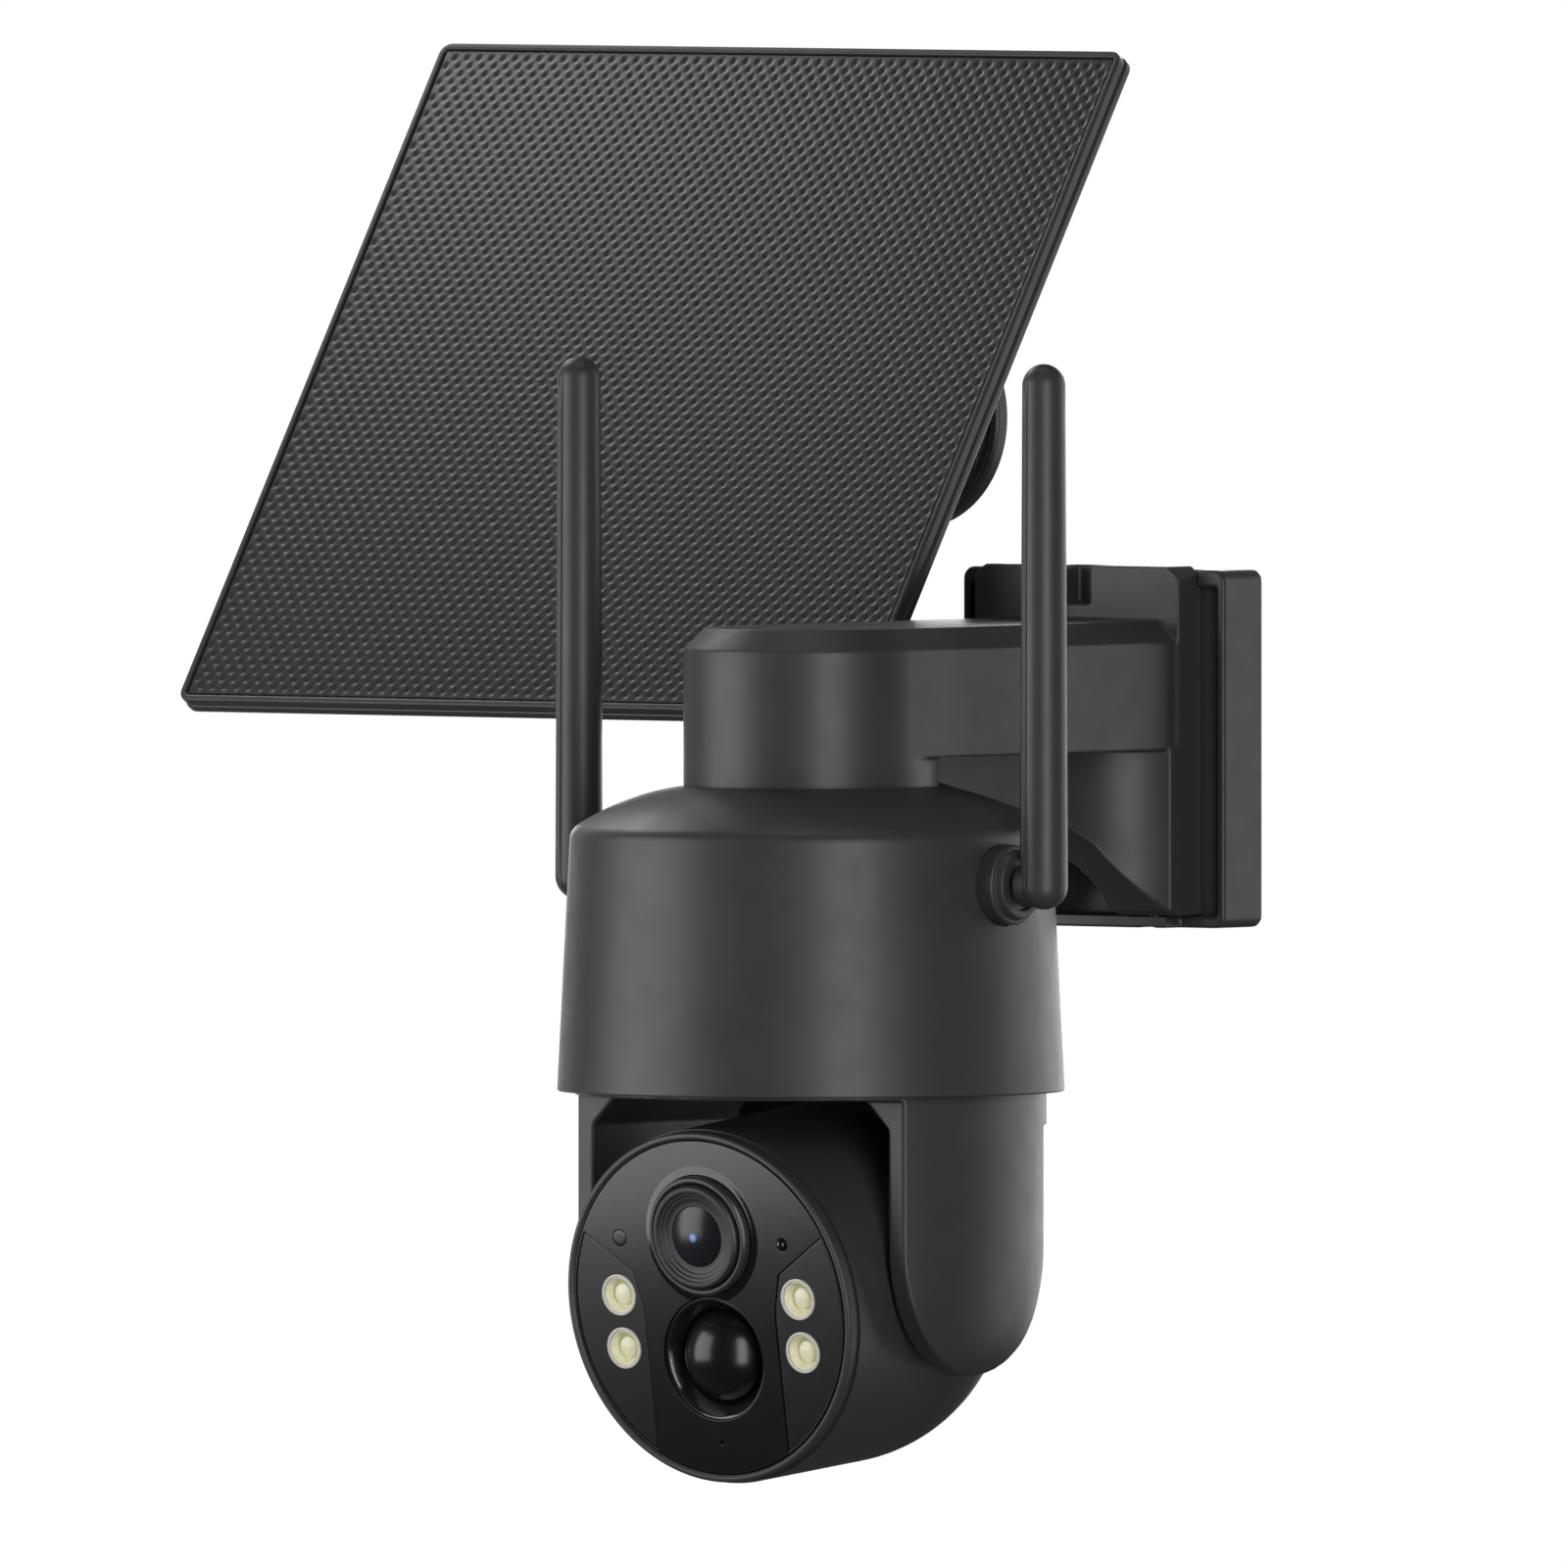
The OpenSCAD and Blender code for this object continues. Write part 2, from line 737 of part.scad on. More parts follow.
module service_cover() {
    color(BLACK) head_frame() intersection() {
        difference() {
            head_solid(0);
            head_solid(2);
        }
        cover_column(0);
    }
}

module card_socket() {
    color(STEEL) head_frame() difference() {
        translate([-7.5, -18, -34.5]) cube([15, 15, 2]);
        translate([-6, -19, -34]) cube([12, 13, 1]);
    }
}

module reset_button() {
    color(DARK) head_frame() translate([0, -23, -38.6]) {
        cylinder(r = 1.6, h = 4);
        translate([0, 0, 3.4]) cylinder(r = 2.6, h = 1.2);
    }
}

module tilt_bushings() {
    color(NYLON) head_frame() for (s = [-1, 1]) rotate([0, s * 90, 0]) {
        translate([0, 0, 36.4]) tube(7, shaft_r + fit, 3.7);
    }
}

module tilt_axle_place() {
    a = tilt_gear_angle;
    head_frame() translate([0, tilt_centres * cos(a), tilt_centres * sin(a)]) children();
}

module tilt_motor() {
    color(STEEL) tilt_axle_place() translate([gear_x + gear_w + 1.2, 0, 0]) along_x() difference() {
        cylinder(r = 9.5, h = 15);
        translate([0, 0, -1]) cylinder(r = 1 + fit, h = 9);
    }
}

module tilt_pinion() {
    color(NYLON) tilt_axle_place() translate([gear_x, 0, 0]) along_x() {
        linear_extrude(gear_w) rotate(180 / tilt_pinion_teeth) {
            gear_outline(tilt_pinion_teeth, tilt_module);
        }
        cylinder(r = 1, h = 12);
    }
}

// ---------- antennas ----------

// A slim rounded paddle with an axle that runs in the housing's boss.
module antenna(side) {
    tip_r = antenna_r - 0.5;
    color(BLACK) at_axis() translate([0, 0, boss_z]) rotate([0, 0, side > 0 ? 0 : 180]) {
        translate([antenna_x, 0, 0]) {
            sphere(r = antenna_r);
            cylinder(r1 = antenna_r, r2 = tip_r, h = antenna_l - tip_r);
            translate([0, 0, antenna_l - tip_r]) sphere(r = tip_r);
        }
        translate([boss_end + air, 0, 0]) along_x() cylinder(r = 4.7, h = antenna_x - boss_end - air);
        translate([47, 0, 0]) along_x() cylinder(r = 3, h = antenna_x - 47);
    }
}

module antenna_left() {
    antenna(-1);
}

module antenna_right() {
    antenna(1);
}

// ---------- solar panel ----------

module panel_base() {
    color(BLACK) at_axis() translate([base_at.x, base_at.y, base_at.z]) along_y() difference() {
        union() {
            rotate_extrude($fn = 96) polygon([
                [0, 0], [base_r, 0], [base_r, 3], [base_r - 0.6, 3.6], [base_r - 2.2, 3.6],
                [base_r - 2.6, 2.7], [base_r - 3.9, 2.7], [base_r - 4.3, 3.3],
                [base_r - 5.4, 3.3], [base_r - 6, 2.5], [9, 2.5], [7, 4.6], [7, 13], [0, 13]
            ]);
            for (a = [-30, 90, 210]) rotate(a) translate([base_screw_ring, 0, 0]) cylinder(r = 3.2, h = 3.9);
        }
        translate([0, 0, 2]) cylinder(r = 4.02, h = 20);
        for (a = [-30, 90, 210]) rotate(a) translate([base_screw_ring, 0, -1]) cylinder(r = 1.9, h = 10);
    }
}

module panel_base_pin() {
    color(STEEL) at_axis() translate([base_at.x, base_at.y, base_at.z]) along_y() {
        translate([0, 0, 2.02]) cylinder(r = 4, h = base_at.y - hub_front - 1.7);
        translate([0, 0, base_at.y - hub_front + air]) cylinder(r = 6.4, h = 2.2);
    }
}

// A flat link carries the swivel's offset, and a tab on it carries the hinge's eye.
module panel_arm() {
    hub_end = base_boss - air;
    offset = [base_at.x - pin_at.x, base_at.z - pin_at.z];
    color(BLACK) at_axis() difference() {
        union() {
            translate([base_at.x, hub_end, base_at.z]) along_y() cylinder(r = 10, h = hub_end - hub_front);
            translate([pin_at.x, hub_front + link_t, pin_at.z]) along_y() {
                cylinder(r = link_r, h = link_t);
                rotate(atan2(offset.y, offset.x)) translate([0, -link_r, 0]) {
                    cube([norm(offset), 2 * link_r, link_t]);
                }
            }
            translate([pin_at.x - 3, pin_at.y, pin_at.z - 5]) cube([6, hub_front + 3 - pin_at.y, 10]);
            translate([pin_at.x - 3, pin_at.y, pin_at.z]) along_x() cylinder(r = link_r, h = 6);
        }
        translate([base_at.x, base_at.y, base_at.z]) along_y() cylinder(r = 4 + fit, h = 40);
        translate([pin_at.x - 9, pin_at.y, pin_at.z]) along_x() cylinder(r = 2.5 + fit, h = 18);
    }
}

module panel_knuckle() {
    color(BLACK) panel_frame_of_reference() translate([0, 0, -panel_t]) difference() {
        union() {
            translate([0, 0, -3]) cylinder(r = 20, h = 2.98);
            mirrored_x() translate([3.3, -7, -14]) cube([3.2, 14, 11.5]);
            mirrored_x() translate([3.3, 0, -14]) along_x() cylinder(r = 7, h = 3.2);
        }
        translate([-10, 0, -14]) along_x() cylinder(r = 2.53, h = 20);
    }
}

module panel_hinge_bolt() {
    color(STEEL) panel_frame_of_reference() translate([0, 0, -pin_back]) {
        translate([-8.4, 0, 0]) along_x() cylinder(r = 2.5, h = 16.8);
        translate([6.52, 0, 0]) along_x() cylinder(r = 4.4, h = 2.6);
        translate([-9.7, 0, 0]) along_x() cylinder(r = 4.6, h = 3.18, $fn = 6);
    }
}

module panel_frame() {
    lip = 1.8;
    color(BLACK) panel_frame_of_reference() difference() {
        union() {
            translate([0, 0, -panel_t]) linear_extrude(panel_t - 1) rounded_rect(panel_w, panel_h, 3);
            translate([0, 0, -1.01]) linear_extrude(1.01) rounded_rect(panel_w - 1.2, panel_h - 1.2, 2.6);
        }
        translate([0, 0, -9]) linear_extrude(10) square([panel_w - 2 * lip, panel_h - 2 * lip], center = true);
    }
}

module panel_inlay(inset, from, thickness) {
    translate([0, 0, from]) linear_extrude(thickness) {
        square([panel_w - 3.6 - 2 * inset, panel_h - 3.6 - 2 * inset], center = true);
    }
}

module panel_back() {
    color(DARK) panel_frame_of_reference() panel_inlay(0.05, -panel_t, 2.2);
}

module solar_cells() {
    color("#101318") panel_frame_of_reference() panel_inlay(3, -2.78, 0.5);
}

module panel_glass() {
    color("#1a1b1e") panel_frame_of_reference() panel_inlay(0.5, -2.26, 1.9);
}

// ---------- assembly ----------

wall_plate();
bracket_arm();
bracket_lock_screws();
neck_gasket();
housing_shell();
housing_screws();
antenna_bosses();
charge_port();
port_cover();
main_board();
board_parts();
battery_cells();
battery_tray();
chassis_plate();
pan_motor();
pan_bearing();
pan_pinion();
yoke_frame();
pan_gear();
pan_retainer();
tilt_shafts();
tilt_gear();
tilt_bushings();
tilt_motor();
tilt_pinion();
head_shell();
head_seal();
head_bezel();
face_panel();
led_covers();
led_lenses();
led_chips();
front_board();
board_screws();
lens_barrel();
lens_trim_ring();
lens_glass();
image_sensor();
pir_cup();
pir_dome();
pir_sensor();
light_sensor();
status_light();
microphone();
speaker();
service_cover();
card_socket();
reset_button();
antenna_left();
antenna_right();
panel_base();
panel_base_pin();
panel_arm();
panel_knuckle();
panel_hinge_bolt();
panel_frame();
panel_back();
solar_cells();
panel_glass();
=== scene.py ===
"""The looks of a pan and tilt security camera with a solar panel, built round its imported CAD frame.

Lengths in this script are millimetres, turned into metres when a mesh is made. Each shape is
drawn in one of the local frames below, whose places come from the CAD nodes and joints.
"""

import json
import math

import bmesh
import bpy
import numpy as np
from mathutils import Matrix, Vector
from mathutils.bvhtree import BVHTree


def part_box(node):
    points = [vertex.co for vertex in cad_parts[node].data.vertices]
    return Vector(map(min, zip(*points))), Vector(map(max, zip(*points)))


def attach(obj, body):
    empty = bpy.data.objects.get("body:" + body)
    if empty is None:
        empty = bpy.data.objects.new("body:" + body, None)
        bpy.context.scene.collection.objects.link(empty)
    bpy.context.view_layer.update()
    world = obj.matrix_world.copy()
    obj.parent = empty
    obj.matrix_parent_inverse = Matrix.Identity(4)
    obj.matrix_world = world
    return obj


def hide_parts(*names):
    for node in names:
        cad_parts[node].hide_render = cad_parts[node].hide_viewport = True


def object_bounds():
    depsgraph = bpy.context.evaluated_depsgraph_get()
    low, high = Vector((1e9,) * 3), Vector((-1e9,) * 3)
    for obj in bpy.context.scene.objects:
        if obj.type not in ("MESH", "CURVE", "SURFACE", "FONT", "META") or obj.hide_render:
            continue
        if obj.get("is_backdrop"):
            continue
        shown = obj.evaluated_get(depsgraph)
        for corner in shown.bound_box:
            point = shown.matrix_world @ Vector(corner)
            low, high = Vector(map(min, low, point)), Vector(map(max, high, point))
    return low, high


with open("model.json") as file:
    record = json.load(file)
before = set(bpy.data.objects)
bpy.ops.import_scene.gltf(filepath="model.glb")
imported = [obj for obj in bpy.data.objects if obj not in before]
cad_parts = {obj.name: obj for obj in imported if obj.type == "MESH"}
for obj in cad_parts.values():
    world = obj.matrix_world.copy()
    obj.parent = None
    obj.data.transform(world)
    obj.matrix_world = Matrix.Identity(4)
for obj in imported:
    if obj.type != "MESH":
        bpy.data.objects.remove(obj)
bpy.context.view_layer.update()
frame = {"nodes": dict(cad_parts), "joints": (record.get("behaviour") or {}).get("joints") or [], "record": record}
MM = 0.001
SCENE = bpy.context.scene
JOINT = {j["name"]: j for j in frame["joints"]}


# ---------- places taken from the frame ----------

def rotation(axis, degrees):
    return Matrix.Rotation(math.radians(degrees), 4, axis)


def shift(x, y, z):
    return Matrix.Translation((x, y, z))


def joint_at(name):
    return Vector(JOINT[name]["pos_m"])


def box_mm(node, origin=Vector((0, 0, 0))):
    low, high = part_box(node)
    return (low - origin) / MM, (high - origin) / MM


HEAD_DROOP, FACE_DROOP, PANEL_LEAN = 6, 9, 33.4
FACE_D, PANEL_T = 42, 5

PAN = joint_at("yoke_pan")
ORIGIN = Vector((PAN.x, PAN.y, 0))
AXIS = Matrix.Translation(ORIGIN)
PIVOT = joint_at("head_tilt")
HEAD = Matrix.Translation(PIVOT) @ rotation("X", HEAD_DROOP)
FACE_AT = PIVOT + rotation("X", HEAD_DROOP) @ Vector((0, -FACE_D * MM, 0))
FACE = Matrix.Translation(FACE_AT) @ rotation("X", 90 + FACE_DROOP)
PANEL_TURN = rotation("X", 90 - PANEL_LEAN)
FRAME_LOW, FRAME_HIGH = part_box("panel_frame")
PANEL_AT = (FRAME_LOW + FRAME_HIGH) / 2 + PANEL_TURN @ Vector((0, 0, PANEL_T / 2 * MM))
PANEL = Matrix.Translation(PANEL_AT) @ PANEL_TURN
ALONG_X = rotation("Z", 90) @ rotation("X", 90)
ALONG_Y = rotation("X", 90)
STILL = Matrix.Identity(4)


# ---------- outlines ----------

def arc(cx, cy, r, start, end, steps):
    """Points on a circle, the angles in degrees from the second axis towards the first."""
    angles = np.radians(np.linspace(start, end, steps + 1))
    return [(cx + r * math.sin(a), cy + r * math.cos(a)) for a in angles]


def rounded(corners, steps=5):
    """A closed outline from (x, y, radius) corners, each rounded by its own radius."""
    points = []
    for i, (x, y, r) in enumerate(corners):
        p = Vector((x, y))
        if r == 0:
            points.append((x, y))
            continue
        before = (Vector(corners[i - 1][:2]) - p).normalized()
        after = (Vector(corners[(i + 1) % len(corners)][:2]) - p).normalized()
        half = before.angle(after) / 2
        centre = p + (before + after).normalized() * (r / math.sin(half))
        first = p + before * (r / math.tan(half)) - centre
        last = p + after * (r / math.tan(half)) - centre
        start = math.atan2(first.y, first.x)
        sweep = (math.atan2(last.y, last.x) - start + math.pi) % (2 * math.pi) - math.pi
        for k in range(steps + 1):
            a = start + sweep * k / steps
            points.append((centre.x + r * math.cos(a), centre.y + r * math.sin(a)))
    return points


def circle(r, steps=96, cx=0, cy=0):
    return [(cx + x, cy + y) for x, y in arc(0, 0, r, 0, 360, steps)[:-1]]


def rectangle(w, h, r=0, cx=0, cy=0):
    corners = [(w / 2, -h / 2), (w / 2, h / 2), (-w / 2, h / 2), (-w / 2, -h / 2)]
    return rounded([(cx + x, cy + y, r) for x, y in corners])


# ---------- meshes ----------

def new_piece(name, verts, faces, place, turn=STILL):
    mesh = bpy.data.meshes.new(name)
    mesh.from_pydata([turn @ Vector(v) * MM for v in verts], [], faces)
    work = bmesh.new()
    work.from_mesh(mesh)
    bmesh.ops.remove_doubles(work, verts=work.verts, dist=1e-7)
    bmesh.ops.recalc_face_normals(work, faces=work.faces)
    work.to_mesh(mesh)
    work.free()
    obj = bpy.data.objects.new(name, mesh)
    SCENE.collection.objects.link(obj)
    obj.matrix_world = place
    return obj


def lathe(name, profile, place, turn=STILL, steps=128):
    """Turns a closed (radius, height) outline round local Z."""
    verts, rings, faces = [], [], []
    for r, z in profile:
        if r < 1e-6:
            rings.append([len(verts)] * steps)
            verts.append((0, 0, z))
            continue
        rings.append(list(range(len(verts), len(verts) + steps)))
        for i in range(steps):
            a = 2 * math.pi * i / steps
            verts.append((r * math.cos(a), r * math.sin(a), z))
    for low, high in zip(rings, rings[1:] + rings[:1]):
        for i in range(steps):
            j = (i + 1) % steps
            corners = list(dict.fromkeys([low[i], low[j], high[j], high[i]]))
            if len(corners) > 2:
                faces.append(corners)
    return new_piece(name, verts, faces, place, turn)


def prism(name, outline, low, high, place, turn=STILL, edge=0.0, steps=3):
    """An extruded outline, with rounded edges round both ends where edge is given."""
    n = len(outline)
    verts = [(x, y, low) for x, y in outline] + [(x, y, high) for x, y in outline]
    sides = [(i, (i + 1) % n, n + (i + 1) % n, n + i) for i in range(n)]
    faces = [tuple(reversed(range(n))), tuple(range(n, 2 * n))] + sides
    obj = new_piece(name, verts, faces, place, turn)
    if edge:
        bevel(obj, edge, steps)
    return obj


def block(low, high, place, name="block"):
    (x0, y0, z0), (x1, y1, z1) = low, high
    outline = [(x0, y0), (x1, y0), (x1, y1), (x0, y1)]
    return prism(name, outline, z0, z1, place)


def baked(obj):
    """Applies the object's modifiers to its mesh."""
    graph = bpy.context.evaluated_depsgraph_get()
    mesh = bpy.data.meshes.new_from_object(obj.evaluated_get(graph))
    obj.modifiers.clear()
    obj.data = mesh
    return obj


def bevel(obj, width, steps=3, angle=40):
    m = obj.modifiers.new("rounded edges", "BEVEL")
    m.width = width * MM
    m.segments = steps
    m.limit_method = "ANGLE"
    m.angle_limit = math.radians(angle)
    m.use_clamp_overlap = False
    m.miter_outer = "MITER_ARC"
    return baked(obj)


def combine(obj, tools, operation):
    for tool in tools:
        m = obj.modifiers.new(operation, "BOOLEAN")
        m.operation = operation
        m.solver = "EXACT"
        m.object = tool
    baked(obj)
    for tool in tools:
        bpy.data.objects.remove(tool)
    return obj


def add(obj, *tools):
    return combine(obj, tools, "UNION")


def cut(obj, *tools):
    return combine(obj, tools, "DIFFERENCE")


def keep(obj, *tools):
    return combine(obj, tools, "INTERSECT")


def soften(obj, voxel, rounds=8, flat=0.03, blend=0.1):
    """Rounds every edge and corner as a mould does, and puts the flat parts back exactly."""
    source = bmesh.new()
    source.from_mesh(obj.data)
    tree = BVHTree.FromBMesh(source)
    source.free()
    m = obj.modifiers.new("remesh", "REMESH")
    m.mode = "VOXEL"
    m.voxel_size = voxel * MM
    m = obj.modifiers.new("smooth", "SMOOTH")
    m.factor = 0.5
    m.iterations = rounds
    baked(obj)
    for vertex in obj.data.vertices:
        near, _, _, distance = tree.find_nearest(vertex.co)
        t = min(max((distance / MM - flat) / blend, 0), 1)
        vertex.co = near.lerp(vertex.co, t * t * (3 - 2 * t))
    for face in obj.data.polygons:
        face.use_smooth = True
    return obj


def shade(obj, angle=35):
    """Smooth shading across the rounded edges, sharp across the rest."""
    for face in obj.data.polygons:
        face.use_smooth = True
    obj.data.set_sharp_from_angle(angle=math.radians(angle))
    m = obj.modifiers.new("even shading", "WEIGHTED_NORMAL")
    m.keep_sharp = True
    m.weight = 80
    return obj


def done(obj, material, body, slot, *nodes):
    """Gives a piece its material, the body it rides on and the CAD nodes it stands for."""
    obj.data.materials.clear()
    obj.data.materials.append(material)
    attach(obj, body)
    if nodes:
        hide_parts(*nodes)
    return obj


# ---------- materials ----------

def node(tree, kind, **values):
    made = tree.nodes.new(kind)
    for key, value in values.items():
        if key in made.inputs:
            made.inputs[key].default_value = value
        else:
            setattr(made, key, value)
    return made


def new_material(name):
    material = bpy.data.materials.new(name)
    material.use_nodes = True
    tree = material.node_tree
    shader = tree.nodes["Principled BSDF"]
    place = node(tree, "ShaderNodeTexCoord")
    return material, tree, shader, place.outputs["Object"]


def noise(tree, coords, scale, detail=3.0, roughness=0.5):
    made = node(tree, "ShaderNodeTexNoise", Scale=scale, Detail=detail, Roughness=roughness)
    tree.links.new(coords, made.inputs["Vector"])
    return made.outputs["Fac"]


def spread(tree, value, low, high):
    """Maps the middle of a noise to a range of numbers."""
    made = node(tree, "ShaderNodeMapRange")
    made.inputs["From Min"].default_value = 0.3
    made.inputs["From Max"].default_value = 0.7
    made.inputs["To Min"].default_value = low
    made.inputs["To Max"].default_value = high
    tree.links.new(value, made.inputs["Value"])
    return made.outputs["Result"]


def colours(tree, value, dark, light):
    made = node(tree, "ShaderNodeMix", data_type="RGBA")
    made.inputs[6].default_value = (*dark, 1)
    made.inputs[7].default_value = (*light, 1)
    tree.links.new(value, made.inputs["Factor"])
    return made.outputs[2]


def bump(tree, shader, height, distance, strength=1.0):
    made = node(tree, "ShaderNodeBump", Strength=strength, Distance=distance * MM)
    tree.links.new(height, made.inputs["Height"])
    tree.links.new(made.outputs["Normal"], shader.inputs["Normal"])


def moulded(name, colour, rough, grain=0.012, grain_scale=2600, tone=0.08, specular=0.5):
    """Moulded plastic: a fine spark-eroded grain and slightly uneven gloss and tone."""
    material, tree, shader, at = new_material(name)
    blotch = noise(tree, at, 45, 4.0)
    dark = [c * (1 - tone) for c in colour]
    light = [c * (1 + tone) for c in colour]
    tree.links.new(colours(tree, spread(tree, blotch, 0, 1), dark, light), shader.inputs["Base Color"])
    gloss = noise(tree, at, 160, 5.0)
    tree.links.new(spread(tree, gloss, rough - 0.03, rough + 0.03), shader.inputs["Roughness"])
    bump(tree, shader, noise(tree, at, grain_scale, 2.0, 0.6), grain)
    shader.inputs["Specular IOR Level"].default_value = specular
    return material


def polished(name, colour, rough=0.06, coat=0.0, wave=0.0002, specular=0.5):
    """A polished moulding: near-mirror gloss with the faintest ripple and dust haze."""
    material, tree, shader, at = new_material(name)
    haze = noise(tree, at, 220, 6.0)
    tree.links.new(colours(tree, spread(tree, haze, 0, 1), [c * 0.9 for c in colour], colour),
                   shader.inputs["Base Color"])
    tree.links.new(spread(tree, haze, rough * 0.96, rough * 1.04), shader.inputs["Roughness"])
    bump(tree, shader, noise(tree, at, 90, 1.0), wave)
    shader.inputs["Coat Weight"].default_value = coat
    shader.inputs["Specular IOR Level"].default_value = specular
    return material


def metal(name, colour, rough=0.3):
    """Turned or stamped metal with fine tool marks."""
    material, tree, shader, at = new_material(name)
    shader.inputs["Metallic"].default_value = 1.0
    stretch = node(tree, "ShaderNodeMapping")
    stretch.inputs["Scale"].default_value = (1, 1, 14)
    tree.links.new(at, stretch.inputs["Vector"])
    marks = noise(tree, stretch.outputs["Vector"], 420, 4.0)
    dark = [c * 0.78 for c in colour]
    tree.links.new(colours(tree, spread(tree, marks, 0, 1), dark, colour), shader.inputs["Base Color"])
    tree.links.new(spread(tree, marks, rough - 0.08, rough + 0.1), shader.inputs["Roughness"])
    bump(tree, shader, marks, 0.01)
    return material


def circuit_board(name):
    """Green solder mask over faint copper tracks."""
    material, tree, shader, at = new_material(name)
    tracks = node(tree, "ShaderNodeTexBrick", Scale=260.0)
    tracks.inputs["Mortar Size"].default_value = 0.03
    tree.links.new(at, tracks.inputs["Vector"])
    mask = colours(tree, tracks.outputs["Fac"], (0.012, 0.075, 0.035), (0.05, 0.20, 0.09))
    tree.links.new(mask, shader.inputs["Base Color"])
    tree.links.new(spread(tree, noise(tree, at, 300), 0.25, 0.4), shader.inputs["Roughness"])
    bump(tree, shader, tracks.outputs["Fac"], 0.02)
    return material


def led_resin(name, colour, glow):
    """A frosted pale-yellow lens that lets some light into its body."""
    material, tree, shader, at = new_material(name)
    cloud = noise(tree, at, 700, 3.0)
    dark = [c * 0.93 for c in colour]
    tree.links.new(colours(tree, spread(tree, cloud, 0, 1), dark, colour), shader.inputs["Base Color"])
    tree.links.new(spread(tree, cloud, 0.22, 0.34), shader.inputs["Roughness"])
    shader.inputs["Subsurface Weight"].default_value = glow
    shader.inputs["Subsurface Radius"].default_value = (1.0, 0.9, 0.5)
    shader.inputs["Subsurface Scale"].default_value = 0.0008
    shader.inputs["Coat Weight"].default_value = 0.4
    bump(tree, shader, noise(tree, at, 1500, 2.0), 0.01)
    return material


def glass_with_painted_glint(name):
    """The front element: dark glass, a painted blue glint round local Z in place of a reflection, and a faint
    violet coating at its edge.
    """
    material, tree, shader, at = new_material(name)
    edge = node(tree, "ShaderNodeLayerWeight", Blend=0.35)
    tint = colours(tree, edge.outputs["Facing"], (0.006, 0.007, 0.010), (0.024, 0.022, 0.032))
    out = node(tree, "ShaderNodeVectorMath", operation="MULTIPLY")
    out.inputs[1].default_value = (1, 1, 0)
    tree.links.new(at, out.inputs[0])
    length = node(tree, "ShaderNodeVectorMath", operation="LENGTH")
    tree.links.new(out.outputs[0], length.inputs[0])
    # painted glint: a blue spot round the lens axis, painted into the base colour in place of a reflection
    painted_glint = node(tree, "ShaderNodeMapRange")
    painted_glint.inputs["From Min"].default_value = 0.3 * MM
    painted_glint.inputs["From Max"].default_value = 1.2 * MM
    tree.links.new(length.outputs["Value"], painted_glint.inputs["Value"])
    both = node(tree, "ShaderNodeMix", data_type="RGBA")
    both.inputs[6].default_value = (0.26, 0.41, 0.90, 1)
    tree.links.new(painted_glint.outputs["Result"], both.inputs["Factor"])
    tree.links.new(tint, both.inputs[7])
    tree.links.new(both.outputs[2], shader.inputs["Base Color"])
    tree.links.new(spread(tree, noise(tree, at, 400), 0.25, 0.29), shader.inputs["Roughness"])
    return material


CELL_ACROSS, CELL_UP = 3.39, 4.2


def laminate(name):
    """Embossed film over black cells: each dimple is darker at its bottom."""
    material, tree, shader, at = new_material(name)
    parts = node(tree, "ShaderNodeSeparateXYZ")
    tree.links.new(at, parts.inputs["Vector"])
    waves = []
    for axis, period in (("X", CELL_ACROSS), ("Y", CELL_UP)):
        turn = node(tree, "ShaderNodeMath", operation="MULTIPLY")
        turn.inputs[1].default_value = 2 * math.pi / (period * MM)
        tree.links.new(parts.outputs[axis], turn.inputs[0])
        wave = node(tree, "ShaderNodeMath", operation="COSINE")
        tree.links.new(turn.outputs[0], wave.inputs[0])
        waves.append(wave.outputs[0])
    lattice = node(tree, "ShaderNodeMath", operation="MULTIPLY")
    tree.links.new(waves[0], lattice.inputs[0])
    tree.links.new(waves[1], lattice.inputs[1])
    depth = node(tree, "ShaderNodeMapRange")
    depth.inputs["To Min"].default_value = 1
    depth.inputs["To Max"].default_value = 0
    tree.links.new(lattice.outputs[0], depth.inputs["Value"])
    fibre = noise(tree, at, 900, 4.0)
    mix = node(tree, "ShaderNodeMath", operation="MULTIPLY_ADD")
    mix.inputs[1].default_value = 0.3
    tree.links.new(fibre, mix.inputs[0])
    tree.links.new(depth.outputs["Result"], mix.inputs[2])
    tint = colours(tree, spread(tree, mix.outputs[0], 0, 1), (0.003, 0.003, 0.004), (0.026, 0.026, 0.028))
    tree.links.new(tint, shader.inputs["Base Color"])
    tree.links.new(spread(tree, mix.outputs[0], 0.62, 0.34), shader.inputs["Roughness"])
    bump(tree, shader, fibre, 0.03)
    return material


def silicon(name):
    """Dark cells with a faint blue cast, seen only if the film is taken off."""
    material, tree, shader, at = new_material(name)
    cells = node(tree, "ShaderNodeTexBrick", Scale=16.0, offset=0.0)
    cells.inputs["Mortar Size"].default_value = 0.01
    tree.links.new(at, cells.inputs["Vector"])
    tint = colours(tree, cells.outputs["Fac"], (0.008, 0.012, 0.035), (0.35, 0.36, 0.38))
    tree.links.new(tint, shader.inputs["Base Color"])
    tree.links.new(spread(tree, noise(tree, at, 300), 0.2, 0.3), shader.inputs["Roughness"])
    return material


